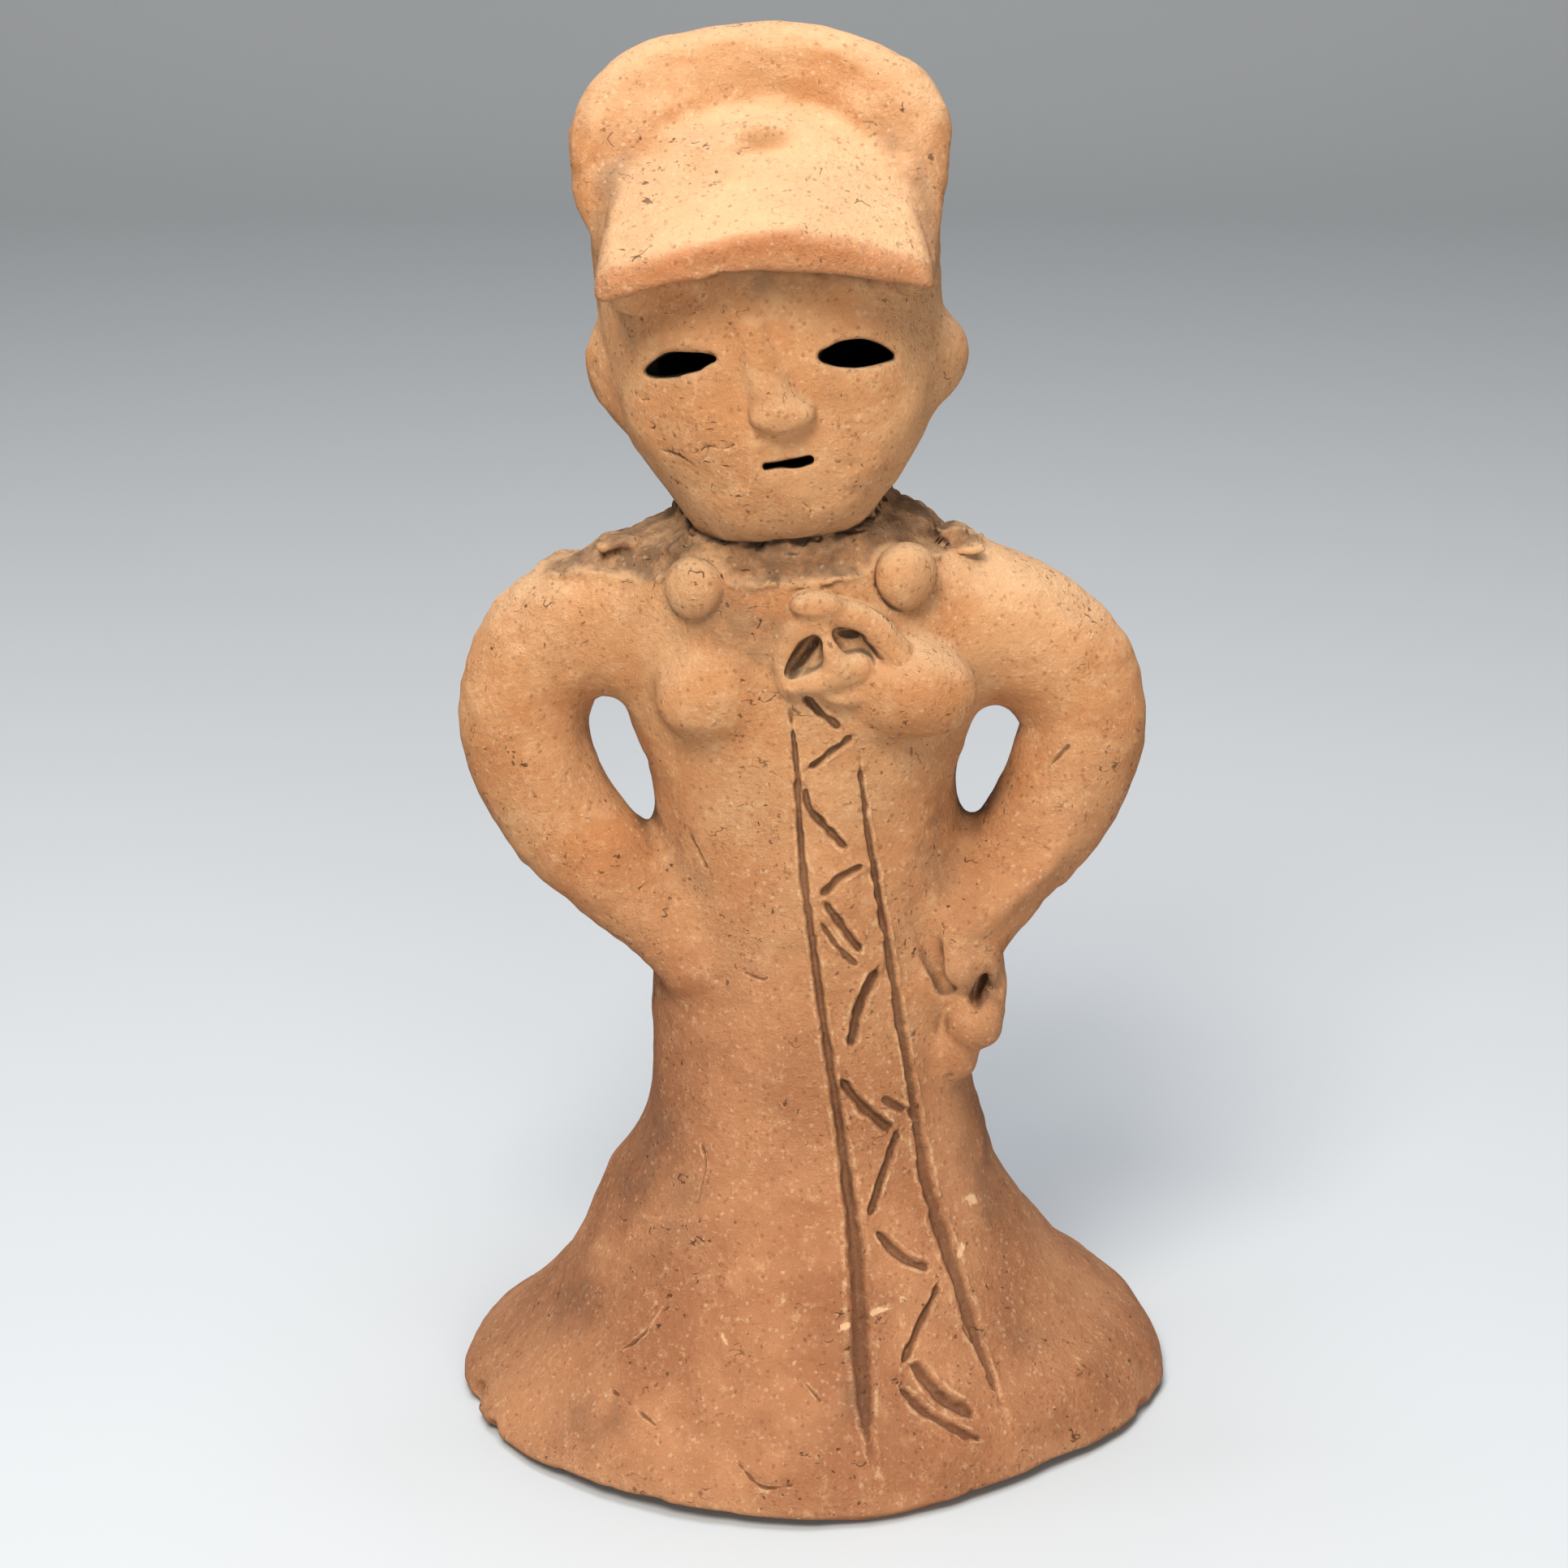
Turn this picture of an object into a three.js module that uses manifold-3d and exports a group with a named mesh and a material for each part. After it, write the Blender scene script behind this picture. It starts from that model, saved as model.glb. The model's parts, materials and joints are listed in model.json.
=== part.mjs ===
// A small hollow terracotta haniwa: a standing figure with a bell skirt, hands on
// hips, slit eyes and mouth, and a folded topknot. Millimetres, +Z up, face to -Y.
// The origin is the middle of the foot rim, on the surface that the figure stands on.
import * as THREE from "three";
import { mergeVertices } from "three/addons/utils/BufferGeometryUtils.js";
import Module from "manifold-3d";

const wasm = await Module();
wasm.setup();

// ---- driving dimensions, mm ----
const WALL = 6.2; // fired clay, the same all over the hollow body
const TERRACOTTA = "#c07a4c";

// Half-width, half-depth and sideways lean of the body at each height.
const BODY = [
  { z: 0, wide: 55.0, deep: 53.0, lean: 0 },
  { z: 3, wide: 56.0, deep: 54.0, lean: 0 },
  { z: 10, wide: 51.2, deep: 49.4, lean: 0.4 },
  { z: 18.2, wide: 42.6, deep: 41.0, lean: 0.4 },
  { z: 26.7, wide: 35.6, deep: 34.0, lean: 0 },
  { z: 35, wide: 30.2, deep: 28.4, lean: -0.6 },
  { z: 43.5, wide: 26.9, deep: 24.8, lean: -0.8 },
  { z: 54, wide: 24.9, deep: 22.4, lean: -0.9 },
  { z: 72, wide: 24.2, deep: 20.6, lean: -1.1 },
  { z: 92, wide: 24.2, deep: 19.6, lean: -1.6 },
  { z: 108, wide: 26.3, deep: 19.6, lean: -2.4 },
  { z: 120, wide: 28.4, deep: 20.2, lean: -3.2 },
  { z: 129, wide: 27.2, deep: 20.6, lean: -4 },
  { z: 135.5, wide: 24.4, deep: 20.4, lean: -4 },
  { z: 139.5, wide: 21.4, deep: 19.4, lean: -3.6 },
  { z: 143, wide: 17.2, deep: 17.0, lean: -3 },
  { z: 147, wide: 14.4, deep: 14.2, lean: -4 },
  { z: 158, wide: 13.0, deep: 13.0, lean: -5.6 },
];

// The rim is a little flat towards the front left; the flat fades out up the skirt.
const RIM_FLAT = { towards: THREE.MathUtils.degToRad(-48), share: 0.1, top: 30 };

// The head stands in its own frame, tipped a little towards its right shoulder.
const HEAD_AT = { x: -6.6, y: -1, z: 165 };
const HEAD_ROLL = THREE.MathUtils.degToRad(-3.8);
const FACE_SQUARENESS = 2.5; // exponent of a section: 2 is an ellipse
const HEAD = [
  { z: -23.2, wide: 9, deep: 11 },
  { z: -21.5, wide: 13.6, deep: 17.5 },
  { z: -18, wide: 16.4, deep: 21.5 },
  { z: -12, wide: 20.2, deep: 23.8 },
  { z: -4, wide: 24.2, deep: 25 },
  { z: 5, wide: 25.6, deep: 24.8 },
  { z: 16, wide: 24.8, deep: 24.2 },
  { z: 27, wide: 23.5, deep: 22.5 },
  { z: 36, wide: 15, deep: 14 },
];

// One roll of clay makes both arms and the shoulders: centre line and radius, hand to hand.
const ARMS = [
  { at: [-20.5, -9.5, 76.5], r: 6.4 },
  { at: [-31.5, -5, 88], r: 8.6 },
  { at: [-38.6, -1.5, 94], r: 9.4 },
  { at: [-44.2, 0, 102], r: 9.8 },
  { at: [-45, 1, 111], r: 9.9 },
  { at: [-40.6, 1, 121.2], r: 10.5 },
  { at: [-29.5, 0, 127.6], r: 11.2 },
  { at: [-15, 0, 130.6], r: 11.6 },
  { at: [-3, 0, 131.2], r: 11.6 },
  { at: [9, 0, 130], r: 11.6 },
  { at: [24, 0, 126.2], r: 11.2 },
  { at: [35.6, 1, 120.4], r: 10.6 },
  { at: [40.3, 1, 111], r: 10 },
  { at: [39.2, 0, 102], r: 9.6 },
  { at: [34.6, -1.5, 93.5], r: 9.1 },
  { at: [28.4, -4.5, 85.5], r: 8.1 },
  { at: [23.6, -8, 76.5], r: 6.7 },
  { at: [22.4, -10, 66], r: 6 },
];

// Topknot, in the head's frame: a fan over the brow, and a roll that stands behind it.
const FAN = { wide: 23.8, front: -32, back: 6, frontTop: 24, rise: 0.6, thick: 6.8 };
const FAN_DROOP = { front: 2.5, back: 13 }; // how far its sides hang below its ridge
const ROLL_RADIUS = 7.6;
const ROLL = [
  [-19.4, 4.5, 13],
  [-19.6, 2.5, 23],
  [-21.4, 1, 32.6],
  [-16.6, 0.4, 40.4],
  [-1, 0, 42.8],
  [14.6, 0.4, 40],
  [20.6, 1, 32.6],
  [19.4, 2.5, 23],
  [19.2, 4.5, 13],
];
const HAIR_BACK_Y = 8.5;
const HAIR_BACK = [
  { z: -16, wide: 13, deep: 11 },
  { z: -4, wide: 21, deep: 16 },
  { z: 12, wide: 24.2, deep: 16.5 },
  { z: 27, wide: 24.4, deep: 13 },
  { z: 38, wide: 20, deep: 9.5 },
  { z: 46.5, wide: 12, deep: 6 },
];

// Applied clay: centre, half-sizes and sideways lean. Head lumps are in the head's frame.
const HEAD_LUMPS = {
  nose: { at: [1.2, -22.6, 2], size: [5, 5, 7.6], lean: -0.15 },
  rightEar: { at: [-22.6, -1, 2], size: [5, 5.5, 9], lean: -0.2 },
  leftEar: { at: [23.2, -1, -0.4], size: [5.4, 5.5, 8.4], lean: 0.2 },
  knot: { at: [0.8, -12, 34], size: [7.2, 5, 3.6] },
};
const BODY_LUMPS = {
  rightBreast: { at: [-16.6, -13.6, 117.6], size: [9.6, 7.2, 9] },
  leftBreast: { at: [13, -14, 119], size: [11.4, 8, 9.4] },
  rightShoulderBead: { at: [-27.6, -8.6, 137.4], size: [3.8, 3.2, 2.4] },
  rightBead: { at: [-18.3, -15.4, 134.4], size: [4.4, 3.6, 3.8] },
  middleBead: { at: [-0.8, -19.8, 133], size: [4.4, 2.8, 2.8] },
  leftBead: { at: [12.4, -16.6, 135], size: [5, 4.6, 4.8] },
  leftShoulderBead: { at: [19.8, -8.6, 138.4], size: [3.8, 3.2, 2.4] },
  sashKnot: { at: [1.8, -18.4, 126], size: [8.2, 4.4, 6] },
  handBall: { at: [22.4, -11.5, 63.8], size: [5.6, 5.4, 5.2] },
};

// Almond slits: centre, half-length, half-height and tilt.
const FACE_SLITS = [
  { x: -12.7, z: 5.9, long: 5.3, high: 1.7, tilt: 0.29 },
  { x: 12.5, z: 5.8, long: 5.6, high: 1.75, tilt: -0.1 },
  { x: 1.6, z: -8.9, long: 3.6, high: 0.65, tilt: 0.08 },
];
const FACE_SLIT_DEPTH = { from: -12, to: -34 }; // along Y, through the front wall
const KNOT_SLITS = [
  { x: -1.8, z: 125.6, long: 3, high: 1.1, tilt: 0.75 },
  { x: 5.4, z: 128.4, long: 2.4, high: 1, tilt: -0.3 },
];
const KNOT_SLIT_DEPTH = { from: -18.6, to: -34 };

// The sash: two scored lines from the knot to the hem with a zigzag between them.
const SASH = { top: 121, hem: 5.5, groove: 1.1 };
const SASH_LEFT = [
  { z: 5.5, x: 10.2 },
  { z: 30, x: 7 },
  { z: 62, x: 3.6 },
  { z: 95, x: -2.2 },
  { z: 121, x: -3.6 },
];
const SASH_RIGHT = [
  { z: 5.5, x: 31.5 },
  { z: 30, x: 19 },
  { z: 50, x: 14.8 },
  { z: 95, x: 8 },
  { z: 121, x: 5.6 },
];
const ZIGZAG_STROKES = 13;

const BODY_SIDES = 32;
const BODY_RINGS = 23;
const CAVITY_SIDES = 22;
const CAVITY_RINGS = 15;
const HEAD_SIDES = 32;
const HEAD_RINGS = 15;
const ARM_SIDES = 12;
const ARM_RINGS = 34;

// ---- geometry helpers ----

// One value of a table of sections at height z, on a smooth curve through its rows.
function sectionAt(table, z, key) {
  const last = table.length - 1;
  if (z <= table[0].z) return table[0][key];
  if (z >= table[last].z) return table[last][key];
  const i = table.findIndex((row) => row.z > z) - 1;
  const slope = (k) => {
    const a = table[Math.max(k - 1, 0)];
    const b = table[Math.min(k + 1, last)];
    return (b[key] - a[key]) / (b.z - a.z);
  };
  const [low, high] = [table[i], table[i + 1]];
  const span = high.z - low.z;
  const t = (z - low.z) / span;
  const [t2, t3] = [t * t, t * t * t];
  return (
    (2 * t3 - 3 * t2 + 1) * low[key] +
    (t3 - 2 * t2 + t) * span * slope(i) +
    (3 * t2 - 2 * t3) * high[key] +
    (t3 - t2) * span * slope(i + 1)
  );
}

// How far the body stands out at an angle about the axis, as a share of its full radius.
function rimShare(angle, z) {
  const near = Math.max(0, Math.cos(angle - RIM_FLAT.towards)) ** 8;
  const fade = THREE.MathUtils.clamp(1 - z / RIM_FLAT.top, 0, 1);
  return 1 - RIM_FLAT.share * near * fade;
}

function eachVertex(geometry, change) {
  const place = geometry.getAttribute("position");
  const v = new THREE.Vector3();
  for (let i = 0; i < place.count; i++) {
    v.fromBufferAttribute(place, i);
    change(v);
    place.setXYZ(i, v.x, v.y, v.z);
  }
  return geometry;
}

// A round solid turned about Z from [radius, z] points, closed at both poles.
function turned(points, sides) {
  const profile = points.map(([r, z]) => new THREE.Vector2(r, z));
  return new THREE.LatheGeometry(profile, sides).rotateX(Math.PI / 2);
}

// A solid with the table's sections between two heights, each shrunk by inset.
// share gives a section's outline, as a part of its full radius, at an angle and height.
function lofted(table, { low, high, rings, sides, power = 2, inset = 0, share = () => 1 }) {
  const steps = [...Array(rings).keys()].map((i) => low + ((high - low) * i) / (rings - 1));
  const points = [[0, low], ...steps.map((z) => [1, z]), [0, high]];
  return eachVertex(turned(points, sides), (v) => {
    const wide = sectionAt(table, v.z, "wide");
    const deep = sectionAt(table, v.z, "deep");
    const slope = (sectionAt(table, v.z + 1, "wide") - sectionAt(table, v.z - 1, "wide")) / 2;
    const shrink = inset * Math.hypot(1, slope); // a wall is measured square to its face
    const onAxis = Math.hypot(v.x, v.y) < 0.5;
    const angle = Math.atan2(v.y, v.x);
    const [cos, sin] = [Math.cos(angle), Math.sin(angle)];
    const reach = onAxis ? 0 : (Math.abs(cos) ** power + Math.abs(sin) ** power) ** (-1 / power);
    const grown = share(angle, v.z);
    const lean = "lean" in table[0] ? sectionAt(table, v.z, "lean") : 0;
    v.x = cos * reach * (wide * grown - shrink) + lean;
    v.y = sin * reach * (deep * grown - shrink);
  });
}

// A roll of clay, turned straight with round ends and then bent along its centre line.
function rolled(line, sides, rings) {
  const curve = new THREE.CatmullRomCurve3(line.map((row) => new THREE.Vector3(...row.at)));
  const radius = new THREE.CatmullRomCurve3(line.map((row) => new THREE.Vector3(row.r, 0, 0)));
  const length = curve.getLength();
  const endRise = 0.35; // how far a round end stands past the line, in radii
  const endRim = 0.72; // radius of the end rings, in radii
  const points = [[0, -endRise * line[0].r]];
  for (let i = 0; i <= rings; i++) {
    const share = i === 0 || i === rings ? endRim : 1;
    const t = curve.getUtoTmapping(i / rings);
    points.push([share * radius.getPoint(t).x, (i / rings) * length]);
  }
  points.push([0, length + endRise * line.at(-1).r]);
  return eachVertex(turned(points, sides), (v) => {
    const u = THREE.MathUtils.clamp(v.z / length, 0, 1);
    const along = curve.getTangentAt(u);
    const side = new THREE.Vector3(0, 1, 0).cross(along).normalize();
    const front = along.clone().cross(side);
    const place = curve.getPointAt(u).addScaledVector(along, v.z - u * length);
    v.copy(place.addScaledVector(side, v.x).addScaledVector(front, v.y));
  });
}

function lump({ at, size, lean = 0 }) {
  const ball = new THREE.SphereGeometry(1, 12, 8).rotateX(Math.PI / 2);
  return ball.scale(...size).rotateY(lean).translate(...at);
}

// The fan over the brow: a low dome that slopes down to a thick, nearly straight lip.
function fan() {
  const middle = (FAN.back + FAN.front) / 2;
  const half = (FAN.back - FAN.front) / 2;
  return eachVertex(new THREE.SphereGeometry(1, 28, 8).rotateX(Math.PI / 2), (v) => {
    const flat = Math.hypot(v.x, v.y) || 1;
    const squared = (Math.abs(v.x / flat) ** 4 + Math.abs(v.y / flat) ** 4) ** -0.25;
    const spread = flat ** 0.6 * squared;
    const across = (v.x / flat) * spread;
    const y = middle + (v.y / flat) * spread * half;
    const back = (y - FAN.front) / (2 * half); // 0 at the lip, 1 at the back
    const droop = THREE.MathUtils.lerp(FAN_DROOP.front, FAN_DROOP.back, back);
    const top = FAN.frontTop + (y - FAN.front) * FAN.rise - droop * across ** 2;
    const bottom = FAN.frontTop - FAN.thick - FAN_DROOP.front * across ** 2;
    v.set(across * FAN.wide, y, THREE.MathUtils.lerp(bottom, top, (v.z + 1) / 2));
  });
}

// An almond-shaped prism along Y.
function slitCutter({ x, z, long, high, tilt }, { from, to }) {
  const bow = high * 2;
  const almond = new THREE.Shape();
  almond.moveTo(-long, 0);
  almond.quadraticCurveTo(0, bow, long, 0);
  almond.quadraticCurveTo(0, -bow, -long, 0);
  const options = { depth: from - to, bevelEnabled: false, curveSegments: 6 };
  const prism = new THREE.ExtrudeGeometry(almond, options);
  return prism.rotateZ(tilt).rotateX(Math.PI / 2).translate(x, from, z);
}

// A point on the front of the body.
function frontPoint(x, z) {
  const wide = sectionAt(BODY, z, "wide");
  const deep = sectionAt(BODY, z, "deep");
  const across = Math.min(1, Math.abs((x - sectionAt(BODY, z, "lean")) / wide));
  const y = -deep * Math.sqrt(1 - across ** 2);
  return new THREE.Vector3(x, y * rimShare(Math.atan2(y, x), z), z);
}

// A scored line: a diamond bar whose middle runs along the surface through the points.
function scored(points, steps) {
  const corners = [0, 1, 2, 3].map((i) => (i * Math.PI) / 2);
  const reach = (angle) => new THREE.Vector2(Math.cos(angle), Math.sin(angle)).multiplyScalar(SASH.groove);
  const section = new THREE.Shape(corners.map(reach));
  const extrudePath = new THREE.CatmullRomCurve3(points);
  return new THREE.ExtrudeGeometry(section, { steps, extrudePath });
}

function sashLine(table) {
  const rows = 18;
  const points = [...Array(rows + 1).keys()].map((i) => {
    const z = THREE.MathUtils.lerp(SASH.hem, SASH.top, i / rows);
    return frontPoint(sectionAt(table, z, "x"), z);
  });
  return scored(points, rows);
}

// Strokes that run from side to side between the sash lines, a little clear of both.
function zigzag() {
  const clear = 0.16; // share of the sash's width left free at each side
  const [first, last] = [SASH.top - 2, SASH.hem + 6];
  const corner = (i) => {
    const z = THREE.MathUtils.lerp(first, last, i / ZIGZAG_STROKES);
    return { z, side: i % 2 ? 1 - clear : clear };
  };
  return [...Array(ZIGZAG_STROKES).keys()].map((i) => {
    const [start, end] = [corner(i), corner(i + 1)];
    const points = [0, 0.5, 0.97].map((t) => { // a stroke stops just short of the next one
      const z = THREE.MathUtils.lerp(start.z, end.z, t);
      const side = THREE.MathUtils.lerp(start.side, end.side, t);
      const edges = [SASH_LEFT, SASH_RIGHT].map((table) => sectionAt(table, z, "x"));
      return frontPoint(THREE.MathUtils.lerp(...edges, side), z);
    });
    return scored(points, 2);
  });
}

// ---- solids ----

// A closed geometry as a solid, turned the right way out if its faces point inwards.
function solid(geometry) {
  const bare = geometry.index ? geometry.toNonIndexed() : geometry;
  bare.deleteAttribute("normal");
  bare.deleteAttribute("uv");
  const merged = mergeVertices(bare, 1e-3);
  const vertProperties = merged.getAttribute("position").array;
  const corners = merged.index.array;
  const facing = (flip) => {
    const triVerts = [];
    for (let i = 0; i < corners.length; i += 3) {
      const [a, b, c] = corners.slice(i, i + 3);
      if (a !== b && b !== c && c !== a) triVerts.push(a, flip ? c : b, flip ? b : c);
    }
    const mesh = new wasm.Mesh({ numProp: 3, vertProperties, triVerts: new Uint32Array(triVerts) });
    return new wasm.Manifold(mesh);
  };
  const made = facing(false);
  return made.volume() > 0 ? made : facing(true);
}

const joined = (pieces) => pieces.reduce((sum, piece) => sum.add(piece));

function geometryOf(made) {
  const { vertProperties, triVerts } = made.getMesh();
  const geometry = new THREE.BufferGeometry();
  geometry.setAttribute("position", new THREE.BufferAttribute(vertProperties, 3));
  geometry.setIndex(new THREE.BufferAttribute(triVerts, 1));
  return geometry;
}

const headFrame = new THREE.Matrix4()
  .makeTranslation(HEAD_AT.x, HEAD_AT.y, HEAD_AT.z)
  .multiply(new THREE.Matrix4().makeRotationY(HEAD_ROLL));
const inHead = (geometry) => solid(geometry.applyMatrix4(headFrame));

function head() {
  const span = { low: HEAD[0].z, high: HEAD.at(-1).z, rings: HEAD_RINGS, sides: HEAD_SIDES };
  const skull = lofted(HEAD, { ...span, power: FACE_SQUARENESS });
  const hairSpan = { low: HAIR_BACK[0].z, high: HAIR_BACK.at(-1).z, rings: 10, sides: 22 };
  const nape = lofted(HAIR_BACK, hairSpan).translate(0, HAIR_BACK_Y, 0);
  const roll = rolled(ROLL.map((at) => ({ at, r: ROLL_RADIUS })), ARM_SIDES, 22);
  const lumps = Object.values(HEAD_LUMPS).map(lump);
  return joined([skull, nape, roll, fan(), ...lumps].map(inHead));
}

function body() {
  const span = { low: 0, high: BODY.at(-1).z, rings: BODY_RINGS, sides: BODY_SIDES };
  const trunk = lofted(BODY, { ...span, share: rimShare });
  const scores = [sashLine(SASH_LEFT), sashLine(SASH_RIGHT), ...zigzag()].map(solid);
  const arms = rolled(ARMS, ARM_SIDES, ARM_RINGS);
  const lumps = Object.values(BODY_LUMPS).map(lump);
  const slits = KNOT_SLITS.map((row) => solid(slitCutter(row, KNOT_SLIT_DEPTH)));
  const scoredTrunk = solid(trunk).subtract(joined(scores));
  return joined([scoredTrunk, ...[arms, ...lumps].map(solid)]).subtract(joined(slits));
}

// The hollow: skirt and trunk, a straight throat, and the inside of the head.
function hollow() {
  const span = { low: -5, high: 130, rings: CAVITY_RINGS, sides: CAVITY_SIDES };
  const trunk = lofted(BODY, { ...span, inset: WALL, share: rimShare });
  const throat = turned([[0, 122], [7, 122], [7, 152], [0, 152]], 20).translate(-5.4, 0, 0);
  const headSpan = { low: -15, high: 24, rings: 9, sides: 24 };
  const skull = lofted(HEAD, { ...headSpan, power: FACE_SQUARENESS, inset: WALL });
  return joined([solid(trunk), solid(throat), inHead(skull)]);
}

function figure() {
  const slits = FACE_SLITS.map((row) => inHead(slitCutter(row, FACE_SLIT_DEPTH)));
  return joined([body(), head()]).subtract(joined([hollow(), ...slits]));
}

// The figure's geometry with the middle of its box on the Z axis.
function centred(geometry) {
  geometry.computeBoundingBox();
  const middle = geometry.boundingBox.getCenter(new THREE.Vector3());
  return geometry.translate(-middle.x, -middle.y, 0);
}

const clay = new THREE.MeshStandardMaterial({ color: TERRACOTTA, roughness: 0.9, metalness: 0 });
const mesh = new THREE.Mesh(centred(geometryOf(figure())), clay);
mesh.name = "figure";

const haniwa = new THREE.Group();
haniwa.add(mesh);

export default haniwa;
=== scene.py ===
"""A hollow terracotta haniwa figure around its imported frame.

The figure is one piece of fired clay. Its form is a signed distance field in design millimetres
(+Z up, face to -Y, origin in the middle of the foot rim), turned into a mesh, pressed with the
marks of making and wear, and shaded as unglazed clay. MM turns design millimetres into the
frame's metres.
"""
import json
import math
from concurrent.futures import ThreadPoolExecutor

import bpy
import numpy as np
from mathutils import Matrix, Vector

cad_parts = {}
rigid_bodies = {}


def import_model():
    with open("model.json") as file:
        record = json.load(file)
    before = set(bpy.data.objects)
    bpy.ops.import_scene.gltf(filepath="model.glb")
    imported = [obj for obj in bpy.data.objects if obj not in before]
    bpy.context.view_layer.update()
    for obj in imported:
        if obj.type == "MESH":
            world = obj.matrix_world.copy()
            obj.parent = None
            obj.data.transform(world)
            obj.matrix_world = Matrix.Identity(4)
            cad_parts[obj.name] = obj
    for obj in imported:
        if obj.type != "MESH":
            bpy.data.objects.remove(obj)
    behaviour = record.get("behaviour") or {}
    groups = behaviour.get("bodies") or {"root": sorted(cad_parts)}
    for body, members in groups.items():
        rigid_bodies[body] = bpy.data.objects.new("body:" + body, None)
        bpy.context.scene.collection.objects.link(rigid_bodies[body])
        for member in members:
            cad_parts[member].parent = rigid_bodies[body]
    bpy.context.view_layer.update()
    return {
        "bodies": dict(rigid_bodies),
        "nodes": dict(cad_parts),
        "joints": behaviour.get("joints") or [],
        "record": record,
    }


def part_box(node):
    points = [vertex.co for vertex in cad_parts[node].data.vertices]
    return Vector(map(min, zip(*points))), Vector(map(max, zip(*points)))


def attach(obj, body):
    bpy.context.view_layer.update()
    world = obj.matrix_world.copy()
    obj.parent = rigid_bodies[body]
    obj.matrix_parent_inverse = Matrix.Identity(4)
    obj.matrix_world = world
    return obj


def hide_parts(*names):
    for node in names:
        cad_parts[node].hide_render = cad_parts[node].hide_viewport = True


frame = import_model()
figure_low, figure_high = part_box("figure")

DESIGN_HEIGHT = 215.36
MM = (figure_high.z - figure_low.z) / DESIGN_HEIGHT
GRID_STEP = 0.5
TRIANGLE_LIMIT = 196000
WORKERS = 4


# ---- field helpers
def smooth_union(a, b, blend):
    """The nearer of two fields, with a fillet about blend wide where they meet."""
    overlap = np.maximum(blend - np.abs(a - b), 0) / blend
    return np.minimum(a, b) - overlap * overlap * blend / 4


def smooth_cut(a, b, blend):
    """What is left of a when b is taken away, with the edge rounded over."""
    return -smooth_union(-a, b, blend)


def smooth_both(a, b, blend):
    """Where both fields are solid, with the edge rounded over."""
    return -smooth_union(-a, -b, blend)


def smoothstep(low, high, value):
    t = np.clip((value - low) / (high - low), 0, 1)
    return t * t * (3 - 2 * t)


def fitted(rows, steps):
    """Catmull-Rom points through the rows, steps to each span."""
    rows = np.asarray(rows, np.float64)
    padded = np.vstack([2 * rows[0] - rows[1], rows, 2 * rows[-1] - rows[-2]])
    points = []
    for a, b, c, d in zip(padded, padded[1:], padded[2:], padded[3:]):
        for t in np.arange(steps) / steps:
            cubic = 2 * b + (c - a) * t + (2 * a - 5 * b + 4 * c - d) * t**2
            cubic += (3 * b - a - 3 * c + d) * t**3
            points.append(0.5 * cubic)
    return np.array(points + [rows[-1]])


class Loft:
    """Rounded sections stacked along Z. Each row is (z, half-width, half-depth, lean along X)."""

    def __init__(self, rows, power=2.0, y=0.0):
        self.power, self.y = power, y
        fine = fitted(rows, 12)
        self.z = fine[:, 0]
        self.wide, self.deep, self.lean = fine[:, 1:].T
        self.widen, self.deepen = (np.gradient(side, self.z) for side in (self.wide, self.deep))

    def at(self, z, side):
        return np.interp(z, self.z, side).astype(np.float32)

    def __call__(self, p):
        z = p[:, 2]
        wide, deep = self.at(z, self.wide), self.at(z, self.deep)
        x = np.abs(p[:, 0] - self.at(z, self.lean)) / wide
        y = np.abs(p[:, 1] - self.y) / deep
        if self.power == 2.0:
            xs, ys = x, y
            reach = np.sqrt(x * x + y * y)
        else:
            xs, ys = x ** (self.power - 1), y ** (self.power - 1)
            reach = (xs * x + ys * y) ** (1 / self.power)
        reach = np.maximum(reach, 1e-3)
        scale = reach ** (1 - self.power)
        along = (xs * x * self.at(z, self.widen) / wide + ys * y * self.at(z, self.deepen) / deep) * scale
        steep = np.sqrt((xs * scale / wide) ** 2 + (ys * scale / deep) ** 2 + along**2)
        return (reach - 1) / np.maximum(steep, 1e-3)


class Local:
    """A field that is worked out only near its own place; further off it gives a safe distance."""

    REACH = 8.0

    def bounded(self, low, high):
        self.low = (np.asarray(low) - self.REACH).astype(np.float32)
        self.high = (np.asarray(high) + self.REACH).astype(np.float32)

    def __call__(self, p):
        outside = np.maximum(np.maximum(self.low - p, p - self.high), 0)
        far = np.sqrt((outside * outside).sum(1)) + self.REACH
        near = ~outside.any(1)
        if near.any():
            far[near] = self.near(p[near])
        return far


class Roll(Local):
    """A roll of clay along a curve. Each row is (x, y, z, radius)."""

    def __init__(self, rows, steps=4):
        self.points = fitted(rows, steps).astype(np.float32)
        centre, radius = self.points[:, :3], self.points[:, 3:]
        self.bounded((centre - radius).min(0), (centre + radius).max(0))

    def near(self, p):
        best = np.full(len(p), 1e3, np.float32)
        for a, b in zip(self.points, self.points[1:]):
            along = b[:3] - a[:3]
            offset = p - a[:3]
            t = np.clip(offset @ along / (along @ along), 0, 1)
            offset -= t[:, None] * along
            np.minimum(best, np.sqrt((offset * offset).sum(1)) - (a[3] + t * (b[3] - a[3])), out=best)
        return best


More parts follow.
